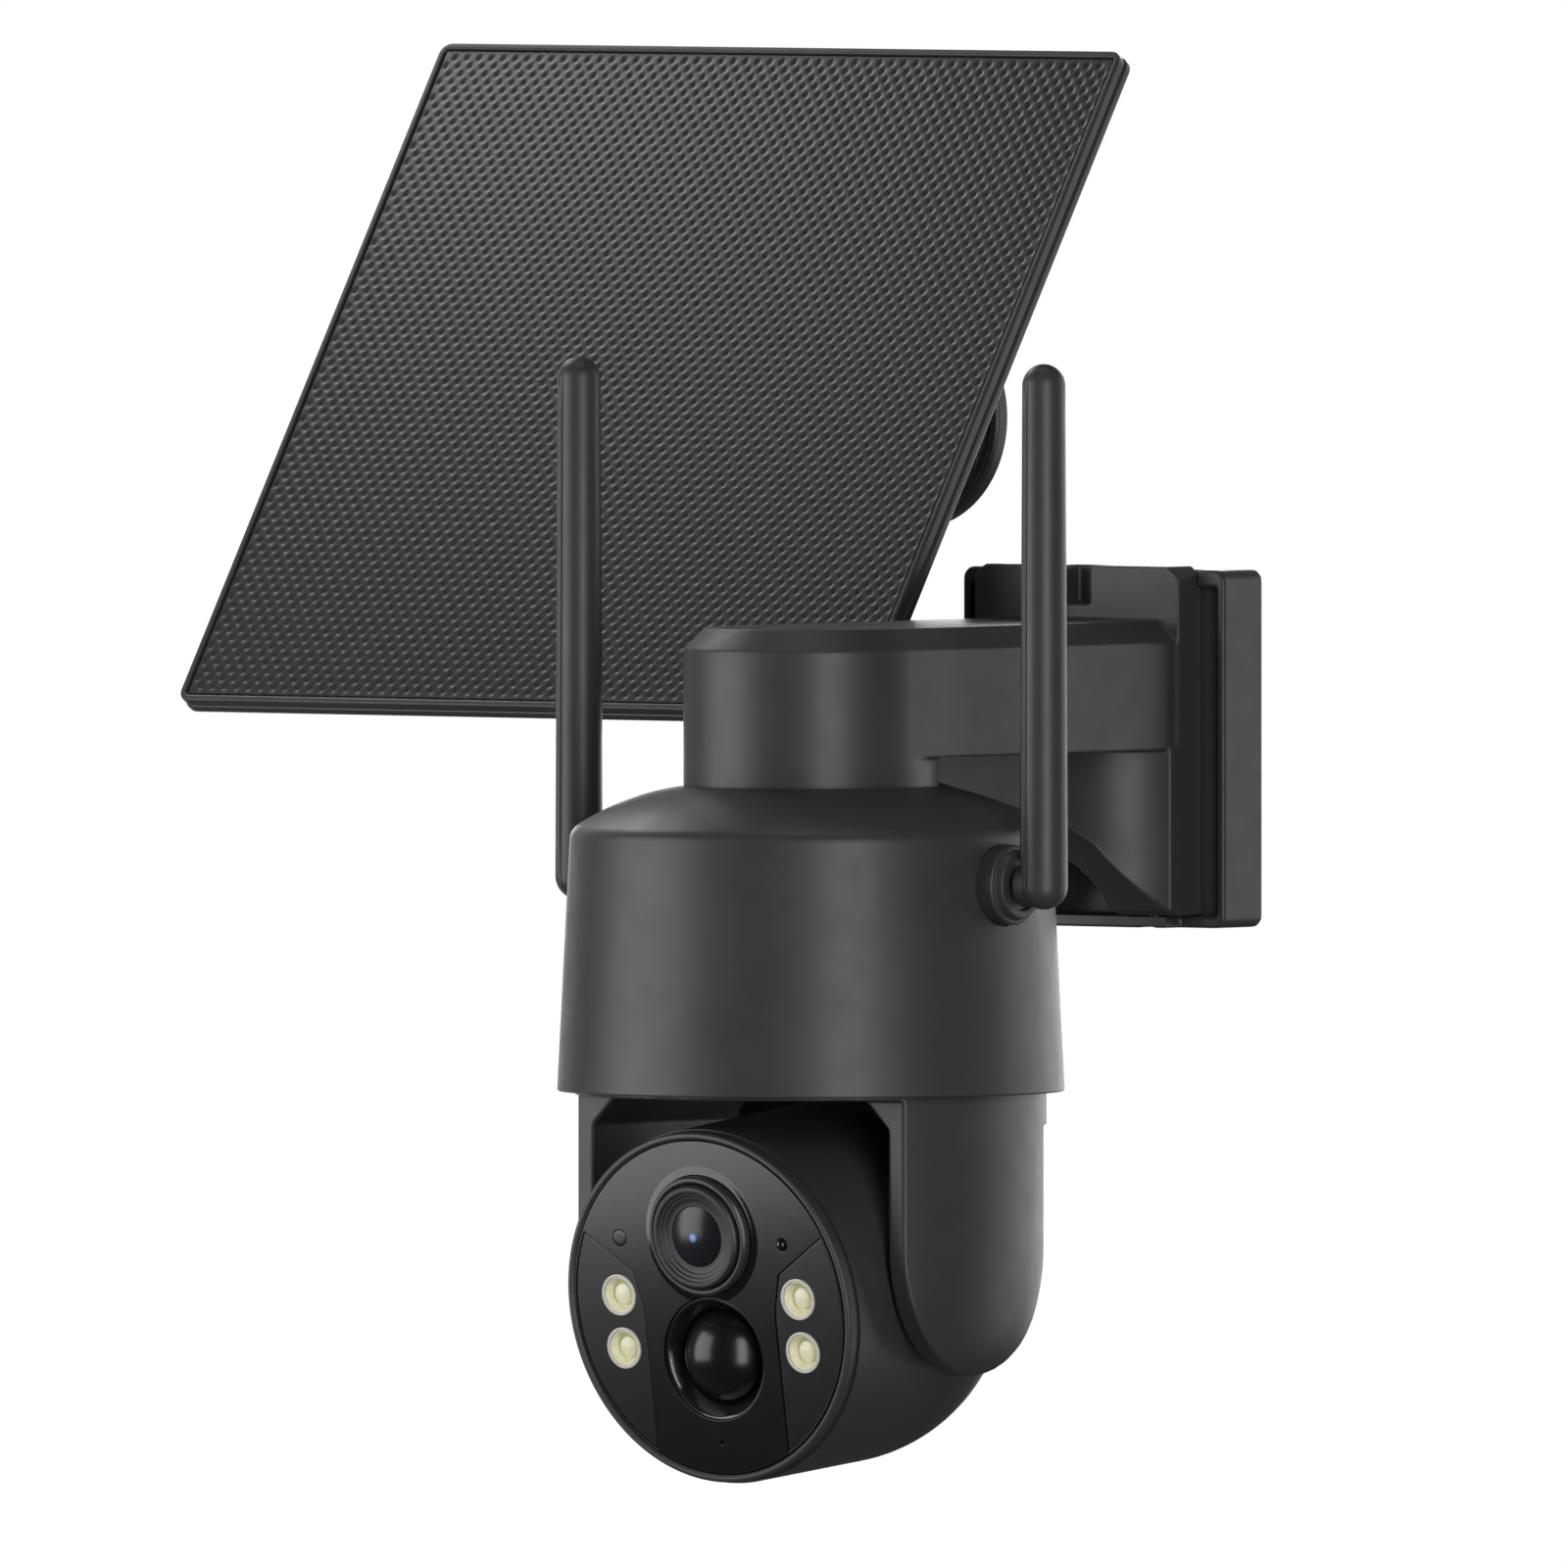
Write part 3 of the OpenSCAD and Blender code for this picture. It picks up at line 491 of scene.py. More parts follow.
CHARCOAL = (0.040, 0.040, 0.0415)
MATERIAL = {
    "black_shell": moulded("charcoal satin plastic", CHARCOAL, 0.43),
    "black_dark": moulded("fine matt black plastic", (0.020, 0.020, 0.021), 0.5),
    "rubber": moulded("matt rubber", (0.018, 0.018, 0.018), 0.72, 0.02, 1800),
    "steel": metal("satin steel", (0.60, 0.61, 0.63)),
    "nylon": moulded("natural nylon", (0.66, 0.63, 0.54), 0.4, 0.01, 1500),
    "board": circuit_board("solder mask"),
    "chips": polished("moulded packages", (0.05, 0.05, 0.055), 0.3),
    "battery_wrap": polished("shrink sleeve", (0.06, 0.24, 0.30), 0.25),
    "face_gloss": polished("polished black face", (0.004, 0.004, 0.0045), 0.14, specular=0.6),
    "led_cover": polished("smoked cheek panels", (0.007, 0.007, 0.0075), 0.19),
    "led_lens": led_resin("pale yellow resin", (0.90, 0.87, 0.62), 0.25),
    "led_chip": led_resin("phosphor", (0.95, 0.80, 0.25), 0.1),
    "lens_black": moulded("ribbed lens black", (0.022, 0.022, 0.023), 0.42, 0.006),
    "lens_ring": moulded("satin lens ring", (0.034, 0.034, 0.036), 0.3, 0.004),
    "lens_glass": glass_with_painted_glint("coated glass"),
    "pir_lens": polished("infrared lens", (0.006, 0.006, 0.007), 0.24),
    "panel_frame": moulded("matt panel frame", (0.036, 0.036, 0.038), 0.42),
    "solar_cell": silicon("silicon"),
    "panel_laminate": laminate("dimpled laminate"),
}
PIR_WALL = polished("polished infrared well", (0.010, 0.010, 0.011), 0.12, 0.4)
PALE_RIM = led_resin("clear lens rim", (0.62, 0.62, 0.58), 0.2)


def finish_cad_nodes():
    """Every CAD node gets its slot's material, shown or not."""
    slots = {s["node"]: s["material_slot"] for s in frame["record"]["subparts"]}
    for name, obj in frame["nodes"].items():
        obj.data.materials.clear()
        obj.data.materials.append(MATERIAL[slots[name]])


# ---------- bracket ----------

PLATE_LOW, PLATE_HIGH = box_mm("wall_plate", ORIGIN)
ARM_LOW, ARM_HIGH = box_mm("bracket_arm", ORIGIN)
WALL_Y = PLATE_HIGH.y
PLATE_Y = WALL_Y - 14
ARM_TOP, DRUM_R, DRUM_FOOT, CHAMFER = 28, -ARM_LOW.y, -6.9, 4.7
BLOCK_Y, BLOCK_HALF = 94, ARM_HIGH.x
BLOCK_TOP, BLOCK_FOOT = ARM_HIGH.z, ARM_LOW.z


def bracket():
    side = ARM_TOP - CHAMFER
    top = DRUM_R - CHAMFER
    drum = lathe("bracket_moulding", [
        (0, DRUM_FOOT), (DRUM_R, DRUM_FOOT), (DRUM_R, side), (top, ARM_TOP), (0, ARM_TOP)
    ], AXIS, steps=288)
    beam = prism("beam", [
        (-DRUM_R, 0), (DRUM_R, 0), (DRUM_R, side), (top, ARM_TOP), (-top, ARM_TOP), (-DRUM_R, side)
    ], -BLOCK_Y - 0.5, 0, AXIS, ALONG_Y)
    head = prism("head", [
        (-BLOCK_HALF, BLOCK_FOOT), (BLOCK_HALF, BLOCK_FOOT), (BLOCK_HALF, BLOCK_TOP - 2.4),
        (BLOCK_HALF - 2.9, BLOCK_TOP), (-BLOCK_HALF + 2.9, BLOCK_TOP), (-BLOCK_HALF, BLOCK_TOP - 2.4)
    ], -ARM_HIGH.y, -BLOCK_Y, AXIS, ALONG_Y)
    plan = [(-12, 20), (12, 20)] + arc(40, 66, 28, -90, -25, 40)
    plan += [(BLOCK_HALF, BLOCK_Y + 1), (-BLOCK_HALF, BLOCK_Y + 1)] + arc(-40, 66, 28, 25, 90, 40)
    web = prism("web", plan, -50, 0.5, AXIS)
    keep(web, prism("web side", [
        (22, 1), (95, 1), (95, -35.5), (91.3, -35.3), (80, -20.6), (72, -15.5),
        (58, -12.7), (27, -5.9), (22, -5.9)
    ], -40, 40, AXIS, ALONG_X))
    add(drum, beam, head, web)
    notch = block((-3.8, BLOCK_Y - 1, 31.4), (3.8, BLOCK_Y + 6, 52), AXIS)
    arch = prism("arch", circle(11, 96, 0, -33.5), -ARM_HIGH.y - 1, -50, AXIS, ALONG_Y)
    cut(drum, notch, arch)
    soften(drum, 0.45, 4)
    done(drum, MATERIAL["black_shell"], "mount", "black_shell", "bracket_arm")


def wall_plate():
    w, h = PLATE_HIGH.x - PLATE_LOW.x, PLATE_HIGH.z - PLATE_LOW.z
    plate = prism("mount_plate", rectangle(w, h, 2.7), -WALL_Y, -PLATE_Y, AXIS, ALONG_Y)
    lip = block((-24, BLOCK_Y + 0.5, -h / 2), (24, PLATE_Y + 2.5, -h / 2 + 2.5), AXIS)
    add(plate, lip)
    tools = [
        block((-34, PLATE_Y - 1, BLOCK_FOOT - 0.2), (34, PLATE_Y + 2.9, 35.3), AXIS),
        block((-BLOCK_HALF - 0.3, PLATE_Y - 1, 30), (BLOCK_HALF + 0.3, PLATE_Y + 2.9, 50), AXIS),
    ]
    screws = {m["name"]: m for m in frame["record"]["mounts"]}["wall_screws"]["dims"]
    for x in (-1, 1):
        for z in (-1, 1):
            centre = x * screws["spacing_x_mm"] / 2, z * screws["spacing_y_mm"] / 2
            hole = circle(screws["hole_r_mm"], 48, *centre)
            tools.append(prism("hole", hole, -WALL_Y - 1, -PLATE_Y + 1, AXIS, ALONG_Y))
        tools.append(prism("hole", circle(1.6, 32, x * 19, 98), -h / 2 - 1, -h / 2 + 3, AXIS))
        tools.append(prism("seat", circle(2.9, 48, x * 19, 98), -h / 2 - 1, -h / 2 + 1.2, AXIS))
    cut(plate, *tools)
    soften(plate, 0.42, 4)
    done(plate, MATERIAL["black_shell"], "mount", "black_shell", "wall_plate")


# ---------- housing ----------

HOUSING_LOW, HOUSING_HIGH = box_mm("housing_shell", ORIGIN)
RIM_R, RIM_Z, DECK_Z = HOUSING_HIGH.x, HOUSING_LOW.z, HOUSING_HIGH.z
WALL = 2.5
BOSS_Z = joint_at("antenna_right_fold").z / MM
BOSS_SEAT, BOSS_FACE = 52, 58.5


def housing():
    """A dome of one wide arc that a small corner arc turns down into the drafted side."""
    dome_x, dome_z, dome_r, dome_end = 20.6, -60.9, 55, 33
    corner_r, corner_end = 4, 87.2
    neck_r, neck_bore_r = 28, 12
    reach = dome_r - corner_r
    cx = dome_x + reach * math.sin(math.radians(dome_end))
    cz = dome_z + reach * math.cos(math.radians(dome_end))
    neck = math.degrees(math.asin((neck_r - dome_x) / dome_r))
    rim = [(RIM_R, RIM_Z, 0.45), (RIM_R - WALL, RIM_Z, 0.45), (RIM_R - WALL, cz, 0), (RIM_R, cz, 0)]
    profile = [(neck_bore_r, DECK_Z), (neck_r - 0.4, DECK_Z)]
    profile += arc(dome_x, dome_z, dome_r, neck, dome_end, 28)
    profile += arc(cx, cz, corner_r, dome_end, corner_end, 12)[1:]
    profile += rounded(rim)[:12]
    profile += arc(cx, cz, corner_r - WALL, corner_end, dome_end, 6)
    profile += arc(dome_x, dome_z, dome_r - WALL, dome_end, 14, 12)[1:]
    profile += [(neck_bore_r, DECK_Z - WALL)]
    shell = lathe("domed_housing", profile, AXIS, steps=256)
    tools = [block((-5.5, 45, -43), (5.5, 60, -37), AXIS)]
    for side in (-1, 1):
        turn = shift(0, 0, BOSS_Z) @ rotation("Y", side * 90)
        tools.append(prism("spotface", circle(9, 128), BOSS_SEAT, 62, AXIS, turn))
        tools.append(prism("passage", circle(6, 64), 40, 60, AXIS, turn))
    cut(shell, *tools)
    shade(shell, 30)
    done(shell, MATERIAL["black_shell"], "mount", "black_shell", "housing_shell")


def bosses():
    for side, name in ((-1, "left"), (1, "right")):
        turn = shift(0, 0, BOSS_Z) @ rotation("Y", side * 90)
        profile = rounded([
            (3.05, 46, 0), (5.8, 46, 0), (5.8, BOSS_SEAT, 0), (8.7, BOSS_SEAT, 0), (8.7, 56.4, 0.7),
            (7.6, 56.4, 0.3), (7.2, 58.2, 0.5), (5.6, 58.2, 0.35), (5.4, 57.3, 0.2), (3.05, 57.3, 0.3)
        ])
        boss = lathe("antenna_boss_" + name, profile, AXIS, turn, 128)
        shade(boss)
        done(boss, MATERIAL["black_shell"], "mount", "black_shell", "antenna_bosses")


# ---------- antennas ----------

def antenna(side, name):
    node_name = "antenna_" + name
    place = Matrix.Translation(joint_at(node_name + "_fold"))
    length = (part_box(node_name)[1].z - joint_at(node_name + "_fold").z) / MM
    foot_r, tip_r, steps = 5.2, 4.7, 144
    groove_depth, groove_half, groove_bearings = 0.28, 2.6, (242, 256)
    quarter = np.radians(range(6, 90, 6))
    rings = [(foot_r * math.sin(a), -foot_r * math.cos(a)) for a in quarter]
    for z in np.linspace(0, length - tip_r, 30):
        rings.append((foot_r + (tip_r - foot_r) * z / (length - tip_r), z))
    rings += [(tip_r * math.cos(a), length - tip_r + tip_r * math.sin(a)) for a in quarter]
    verts, faces = [(0, 0, -foot_r)], []
    for r, z in rings:
        fade = min(max((length - 3 - z) / 4, 0), 1) * min(max((z + 2) / 3, 0), 1)
        for i in range(steps):
            a = 2 * math.pi * i / steps
            groove = sum(math.exp(-((math.degrees(a) - g) / groove_half) ** 2) for g in groove_bearings)
            d = r - groove_depth * groove * fade
            verts.append((d * math.cos(a), d * math.sin(a), z))
    verts.append((0, 0, length))
    for k in range(len(rings) - 1):
        for i in range(steps):
            j = (i + 1) % steps
            a, b = 1 + k * steps, 1 + (k + 1) * steps
            faces.append((a + i, a + j, b + j, b + i))
    last = 1 + (len(rings) - 1) * steps
    for i in range(steps):
        j = (i + 1) % steps
        faces += [(0, 1 + j, 1 + i), (last + i, last + j, len(verts) - 1)]
    body = new_piece("antenna_body_" + name, verts, faces, place)
    foot = BOSS_FACE - joint_at("antenna_right_fold").x / MM
    tail = foot - 11.5
    stub = rounded([(0, tail, 0), (3, tail, 0.3), (3, foot, 0), (4.7, foot, 0.5), (4.7, 0, 0), (0, 0, 0)])
    add(body, lathe("stub", stub, place, rotation("Y", side * 90), 96))
    shade(body, 30)
    done(body, MATERIAL["black_shell"], "antenna_" + name[0], "black_shell", node_name)


# ---------- yoke ----------

YOKE_LOW, YOKE_HIGH = box_mm("yoke_frame", ORIGIN)
YOKE_R = YOKE_HIGH.x
YOKE_TOP, FORK_TOP, FORK_HALF = -68.5, -73.4, 40.5
ARM_HALF, FOOT_Z = 24.7, -105
SKIRT_H, SKIRT_T = 6.6, 4
FOOT_H = FOOT_Z - YOKE_LOW.z


def yoke():
    envelope = [(0, YOKE_TOP), (YOKE_R, YOKE_TOP)]
    for a in np.radians(np.linspace(0, 90, 40)):
        envelope.append((YOKE_R - 9 * (1 - math.cos(a)), -106 - 28 * math.sin(a)))
    envelope.append((0, YOKE_LOW.z - 0.2))
    fork = lathe("yoke_fork", envelope, AXIS, steps=288)
    wide = YOKE_R + 1
    side = [(-wide, YOKE_TOP + 1), (-wide, FORK_TOP), (-ARM_HALF, FORK_TOP)]
    foot = np.radians(np.linspace(0, 180, 73))
    side += [(-ARM_HALF * math.cos(a), FOOT_Z - FOOT_H * math.sin(a)) for a in foot]
    side += [(ARM_HALF, FORK_TOP), (wide, FORK_TOP), (wide, YOKE_TOP + 1)]
    keep(fork, prism("side view", side, -60, 60, AXIS, ALONG_X))
    skirt = lathe("skirt", envelope, AXIS, steps=288)
    keep(skirt, block((-60, 20, FORK_TOP - SKIRT_H), (60, 60, FORK_TOP + 0.1), AXIS))
    cut(skirt, prism("crown", circle(YOKE_R - SKIRT_T, 192), -95, -60, AXIS))
    corner = FORK_TOP - SKIRT_H
    gap = [
        (-FORK_HALF, -150), (FORK_HALF, -150), (FORK_HALF, corner), (FORK_HALF - SKIRT_H, FORK_TOP),
        (-FORK_HALF + SKIRT_H, FORK_TOP), (-FORK_HALF, corner)
    ]
    tools = [prism("gap", gap, -60, 60, AXIS, ALONG_Y)]
    pivot = (PIVOT - ORIGIN) / MM
    for s in (-1, 1):
        turn = shift(*pivot) @ rotation("Y", s * 90)
        tools.append(prism("shaft hole", circle(4.98, 64), 30, 47, AXIS, turn))
    cut(fork, *tools)
    add(fork, skirt)
    soften(fork, 0.45, 4)
    done(fork, MATERIAL["black_shell"], "yoke", "black_shell", "yoke_frame")
    hub = lathe("yoke_hub", rounded([
        (5.5, YOKE_TOP - 0.2, 0), (8, YOKE_TOP - 0.2, 0), (8, -54, 0.6), (5.5, -54, 0.6)
    ]), AXIS, steps=96)
    shade(hub)
    done(hub, MATERIAL["black_shell"], "yoke", "black_shell", "yoke_frame")


# ---------- head ----------

HEAD_R, FACE_R = 39.4, 38.6


def head_profile(inset):
    r = HEAD_R - inset
    outer = [(r * math.cos(a), r * math.sin(a)) for a in np.radians(np.linspace(-90, 0, 60))]
    outer[0] = (0, -r)
    return outer + [(FACE_R + 0.3 - inset, FACE_D + 6), (0, FACE_D + 6)]


def head_shell():
    turn = rotation("X", 90)
    shell = lathe("head_casing", head_profile(0), HEAD, turn, 256)
    hollow = lathe("hollow", head_profile(2.2), HEAD, turn, 256)
    low, high = box_mm("service_cover", PIVOT)
    tools = [hollow, block((-60, -70, -3.4), (60, 70, 30), FACE)]
    for s in (-1, 1):
        tools.append(prism("bushing seat", circle(7.02, 96), 0, 50, HEAD, rotation("Y", s * 90)))
    tools.append(prism("cover opening", rectangle(high.x - low.x + 0.5, 13.5, 0.8, 0, -10.5), -45, -30, HEAD))
    tools.append(prism("reset hole", circle(1.65, 32, 0, -23), -45, -30, HEAD))
    cut(shell, *tools)
    shade(shell, 30)
    done(shell, MATERIAL["black_shell"], "head", "black_shell", "head_shell")


PANEL_R = 36.7
LENS_AT, PIR_AT = (0, 16), (0, -11.3)
LED_AT = [(x, y) for x in (-24.6, 24.6) for y in (2.3, -9.4)]
LIGHT_AT, STATUS_AT, MIC_AT = (21.7, 14.3), (-22.8, 14.9), (0, -29.7)


def on_face(at):
    return shift(*at, 0)


def bezel():
    seat = PANEL_R + 0.25
    ring = lathe("bezel_ring", rounded([
        (FACE_R, -3, 0.3), (FACE_R, 0, 0.75), (FACE_R - 1.1, 0, 0.3), (seat, -0.5, 0.2), (seat, -3, 0)
    ]), FACE, steps=256)
    shade(ring)
    done(ring, MATERIAL["black_shell"], "head", "black_dark", "head_bezel")


def cheek(grow, low, high, name, edge=0.0):
    """The right cheek's plate, or with grow above 0 the pocket that it sits in."""
    right = [
        (18 - grow, -40), (45, -40), (45, 18), (36, 18.4 + grow), (20 - grow, 7.5 + grow / 2), (18 - grow, -1)
    ]
    panel = prism(name, right, low, high, FACE)
    keep(panel, prism("round", circle(PANEL_R - 0.5 + grow / 2, 192), -10, 10, FACE))
    if edge:
        bevel(panel, edge, 2, 30)
    return panel


def mirrored(obj):
    work = bmesh.new()
    work.from_mesh(obj.data)
    bmesh.ops.scale(work, vec=(-1, 1, 1), verts=work.verts)
    bmesh.ops.reverse_faces(work, faces=work.faces)
    work.to_mesh(obj.data)
    work.free()
    return obj


def face_plate():
    disc = prism("face_plate", circle(PANEL_R, 256), -2.6, -0.4, FACE)
    swell = lathe("swell", [
        (0, -2), (15.5, -2), (15.5, -0.42), (15.1, -0.38), (14.7, -0.3), (14.2, -0.2), (13.8, -0.14),
        (13.4, -0.12), (0, -0.12)
    ], FACE, on_face(LENS_AT), 192)
    add(disc, swell)
    tools = [cheek(0.15, -3, 1, "cheek cut"), mirrored(cheek(0.15, -3, 1, "cheek cut"))]
    for at, r in ((LENS_AT, 13.3), (PIR_AT, 13.6), (LIGHT_AT, 1.45), (STATUS_AT, 1.85), (MIC_AT, 0.5)):
        tools.append(prism("hole", circle(r, 160 if r > 5 else 48, *at), -4, 4, FACE))
    cut(disc, *tools)
    bevel(disc, 0.12, 2, 50)
    shade(disc)
    done(disc, MATERIAL["face_gloss"], "head", "face_gloss", "face_panel")
    for side in ("left", "right"):
        panel = cheek(0, -2.6, -0.6, "cheek_" + side, 0.18)
        if side == "left":
            mirrored(panel)
        tools = [prism("hole", circle(4.65, 96, *at), -4, 4, FACE) for at in LED_AT]
        cut(panel, *tools)
        shade(panel)
        done(panel, MATERIAL["led_cover"], "head", "led_cover", "led_covers")


def leds():
    for i, at in enumerate(LED_AT):
        rim = lathe(f"led_rim_{i + 1}", rounded([
            (4.55, -3.4, 0), (4.55, -0.25, 0.15), (3.95, -0.25, 0.15), (3.75, -1.2, 0), (3.75, -3.4, 0)
        ]), FACE, on_face(at), 96)
        shade(rim)
        done(rim, PALE_RIM, "head", "led_lens", "led_lenses")
        lens = lathe(f"led_lens_{i + 1}", rounded([
            (0, -3.4, 0), (3.72, -3.4, 0), (3.9, -0.55, 0.15), (3.6, -0.55, 0.15), (3.05, -2.2, 0.4),
            (2.55, -2.6, 0.15), (2.3, -1.9, 0.5), (0, -1.6, 0)
        ]), FACE, on_face(at), 96)
        shade(lens)
        done(lens, MATERIAL["led_lens"], "head", "led_lens", "led_lenses")


def camera_lens():
    at = on_face(LENS_AT)
    ring = lathe("lens_ring", rounded([
        (11.45, -2.6, 0), (13.2, -2.6, 0), (13.2, 1.1, 0.3), (12.7, 1.75, 0.35), (12.0, 1.75, 0.25),
        (11.45, 1.0, 0.1)
    ]), FACE, at, 192)
    shade(ring)
    done(ring, MATERIAL["lens_ring"], "head", "lens_ring", "lens_trim_ring")
    barrel = lathe("lens_front", rounded([
        (6.7, 1.5, 0.1), (6.7, -17.5, 0), (10, -17.5, 0), (10, -6.9, 0), (11.4, -6.9, 0), (11.4, 2.2, 0.25),
        (10.9, 2.8, 0.25), (10.0, 2.8, 0.2), (9.8, 2.35, 0.12), (9.2, 2.3, 0.1), (9.0, 1.95, 0.1),
        (8.3, 1.9, 0.1), (8.1, 1.6, 0.1), (7.3, 1.5, 0.1)
    ], 4), FACE, at, 192)
    shade(barrel)
    done(barrel, MATERIAL["lens_black"], "head", "lens_black", "lens_barrel")
    crown_r, crown_centre = 15, -12.1
    sweep = np.radians(np.linspace(0, 26.1, 24))
    crown = [(crown_r * math.sin(a), crown_r * math.cos(a) + crown_centre) for a in sweep]
    middle = FACE @ Matrix.Translation(Vector((*LENS_AT, 0)) * MM)
    glass = lathe("lens_element", [(0, -2.5), *crown, (6.6, -2.5)], middle, steps=128)
    shade(glass, 40)
    done(glass, MATERIAL["lens_glass"], "head", "lens_glass", "lens_glass")


def infrared_lens():
    at = on_face(PIR_AT)
    cup = lathe("infrared_well", rounded([
        (13.5, -0.6, 0.2), (13.5, -5.4, 0), (10.5, -5.4, 0), (10.9, -3.6, 0.4), (12.8, -1.1, 0.5)
    ]), FACE, at, 192)
    shade(cup)
    done(cup, PIR_WALL, "head", "face_gloss", "pir_cup")
    centre, r, inner_r = -7.6, 10.7, 9.7
    dome = [(r * math.sin(a), centre + r * math.cos(a)) for a in np.radians(np.linspace(0, 75.5, 40))]
    back = np.radians(np.linspace(74, 0, 20))
    inner = [(inner_r * math.sin(a), centre + inner_r * math.cos(a)) for a in back]
    shell = lathe("infrared_dome", dome + inner, FACE, at, 160)
    shade(shell, 40)
    done(shell, MATERIAL["pir_lens"], "head", "pir_lens", "pir_dome")


def small_parts():
    bead_r, bead_centre = 1.3, -0.5
    dome = [(bead_r * math.cos(a), bead_centre + bead_r * math.sin(a)) for a in np.radians(range(0, 90, 9))]
    bead = [(0, -6), (bead_r, -6), *dome, (0, bead_centre + bead_r)]
    light = lathe("light_sensor_bead", bead, FACE, on_face(LIGHT_AT), 64)
    shade(light)
    done(light, MATERIAL["face_gloss"], "head", "face_gloss", "light_sensor")
    status = lathe("status_window", rounded([
        (0, -6, 0), (1.75, -6, 0), (1.75, -0.42, 0.08), (1.5, -0.41, 0), (0.7, -0.41, 0), (0, -0.41, 0)
    ]), FACE, on_face(STATUS_AT), 64)
    shade(status)
    done(status, MATERIAL["face_gloss"], "head", "led_cover", "status_light")


# ---------- solar panel ----------

PANEL_W = (FRAME_HIGH.x - FRAME_LOW.x) / MM
LEAN = math.radians(PANEL_LEAN)
PANEL_H = ((FRAME_HIGH.z - FRAME_LOW.z) / MM - PANEL_T * math.sin(LEAN)) / math.cos(LEAN)


def panel_face():
    """The embossed film, as a fine grid whose height follows the lattice of dimples."""
    face_z, foot_z, dimple_depth, border = -0.42, -2.26, 0.3, 1.2
    w, h = PANEL_W - 4.6, PANEL_H - 4.6
    columns, rows = int(w / CELL_ACROSS * 7), int(h / CELL_UP * 8)
    xs, ys = np.linspace(-w / 2, w / 2, columns + 1), np.linspace(-h / 2, h / 2, rows + 1)
    verts, faces = [], []
    for y in ys:
        for x in xs:
            wave = math.cos(2 * math.pi * x / CELL_ACROSS) * math.cos(2 * math.pi * y / CELL_UP)
            inside = min(1, (w / 2 - abs(x)) / border, (h / 2 - abs(y)) / border)
            verts.append((x, y, face_z - dimple_depth * max(0, wave) ** 1.3 * inside))
    stride = columns + 1
    for j in range(rows):
        for i in range(columns):
            a = j * stride + i
            faces.append((a, a + 1, a + 1 + stride, a + stride))
    loop = list(range(stride)) + [j * stride + columns for j in range(1, rows + 1)]
    loop += [rows * stride + i for i in range(columns - 1, -1, -1)]
    loop += [j * stride for j in range(rows - 1, 0, -1)]
    base = len(verts)
    verts += [(verts[i][0], verts[i][1], foot_z) for i in loop]
    n = len(loop)
    for k in range(n):
        faces.append((loop[k], base + k, base + (k + 1) % n, loop[(k + 1) % n]))
    faces.append(tuple(base + k for k in reversed(range(n))))
    film = new_piece("panel_film", verts, faces, PANEL)
    for face in film.data.polygons:
        face.use_smooth = True
    film.data.set_sharp_from_angle(angle=math.radians(40))
    done(film, MATERIAL["panel_laminate"], "panel", "panel_laminate", "panel_glass")


def panel_frame():
    opening = rectangle(PANEL_W - 3.6, PANEL_H - 3.6, 1.2)
    tray = prism("panel_tray", rectangle(PANEL_W, PANEL_H, 3), -PANEL_T, -2.5, PANEL)
    cut(tray, prism("opening", opening, -9, 3, PANEL))
    bevel(tray, 0.7, 4)
    shade(tray)
    done(tray, MATERIAL["panel_frame"], "panel", "panel_frame", "panel_frame")
    rim = prism("panel_rim", rectangle(PANEL_W - 0.5, PANEL_H - 0.5, 2.8), -2.6, 0, PANEL)
    cut(rim, prism("opening", opening, -9, 3, PANEL))
    bevel(rim, 0.45, 3)
    shade(rim)
    done(rim, MATERIAL["panel_frame"], "panel", "panel_frame", "panel_frame")
    back = prism("panel_cover", rectangle(PANEL_W - 3.7, PANEL_H - 3.7, 1.2), -PANEL_T, -2.8, PANEL, edge=0.5)
    shade(back)
    done(back, MATERIAL["black_dark"], "panel", "black_dark", "panel_back")


def knuckle():
    pin_z, ear_r = -19, 7
    flange = lathe("hinge_knuckle", [(0, -8), (20, -8), (20, -5.02), (0, -5.02)], PANEL, steps=160)
    ears = []
    for s in (-1, 1):
        low, high = sorted((3.3 * s, 6.5 * s))
        ears.append(block((low, -ear_r, pin_z), (high, ear_r, -7.5), PANEL))
        ears.append(prism("ear", circle(ear_r, 96, 0, pin_z), low, high, PANEL, ALONG_X))
    add(flange, *ears)
    cut(flange, prism("bore", circle(2.53, 48, 0, pin_z), -10, 10, PANEL, ALONG_X))
    soften(flange, 0.4, 6)
    done(flange, MATERIAL["panel_frame"], "panel", "panel_frame", "panel_knuckle")


BASE_AT = (joint_at("panel_swivel") - ORIGIN) / MM
PIN_AT = (joint_at("panel_tilt") - ORIGIN) / MM
HUB_FRONT, HUB_END, LINK_T, EYE_R = 127, BASE_AT.y - 13.3, 7.2, 7


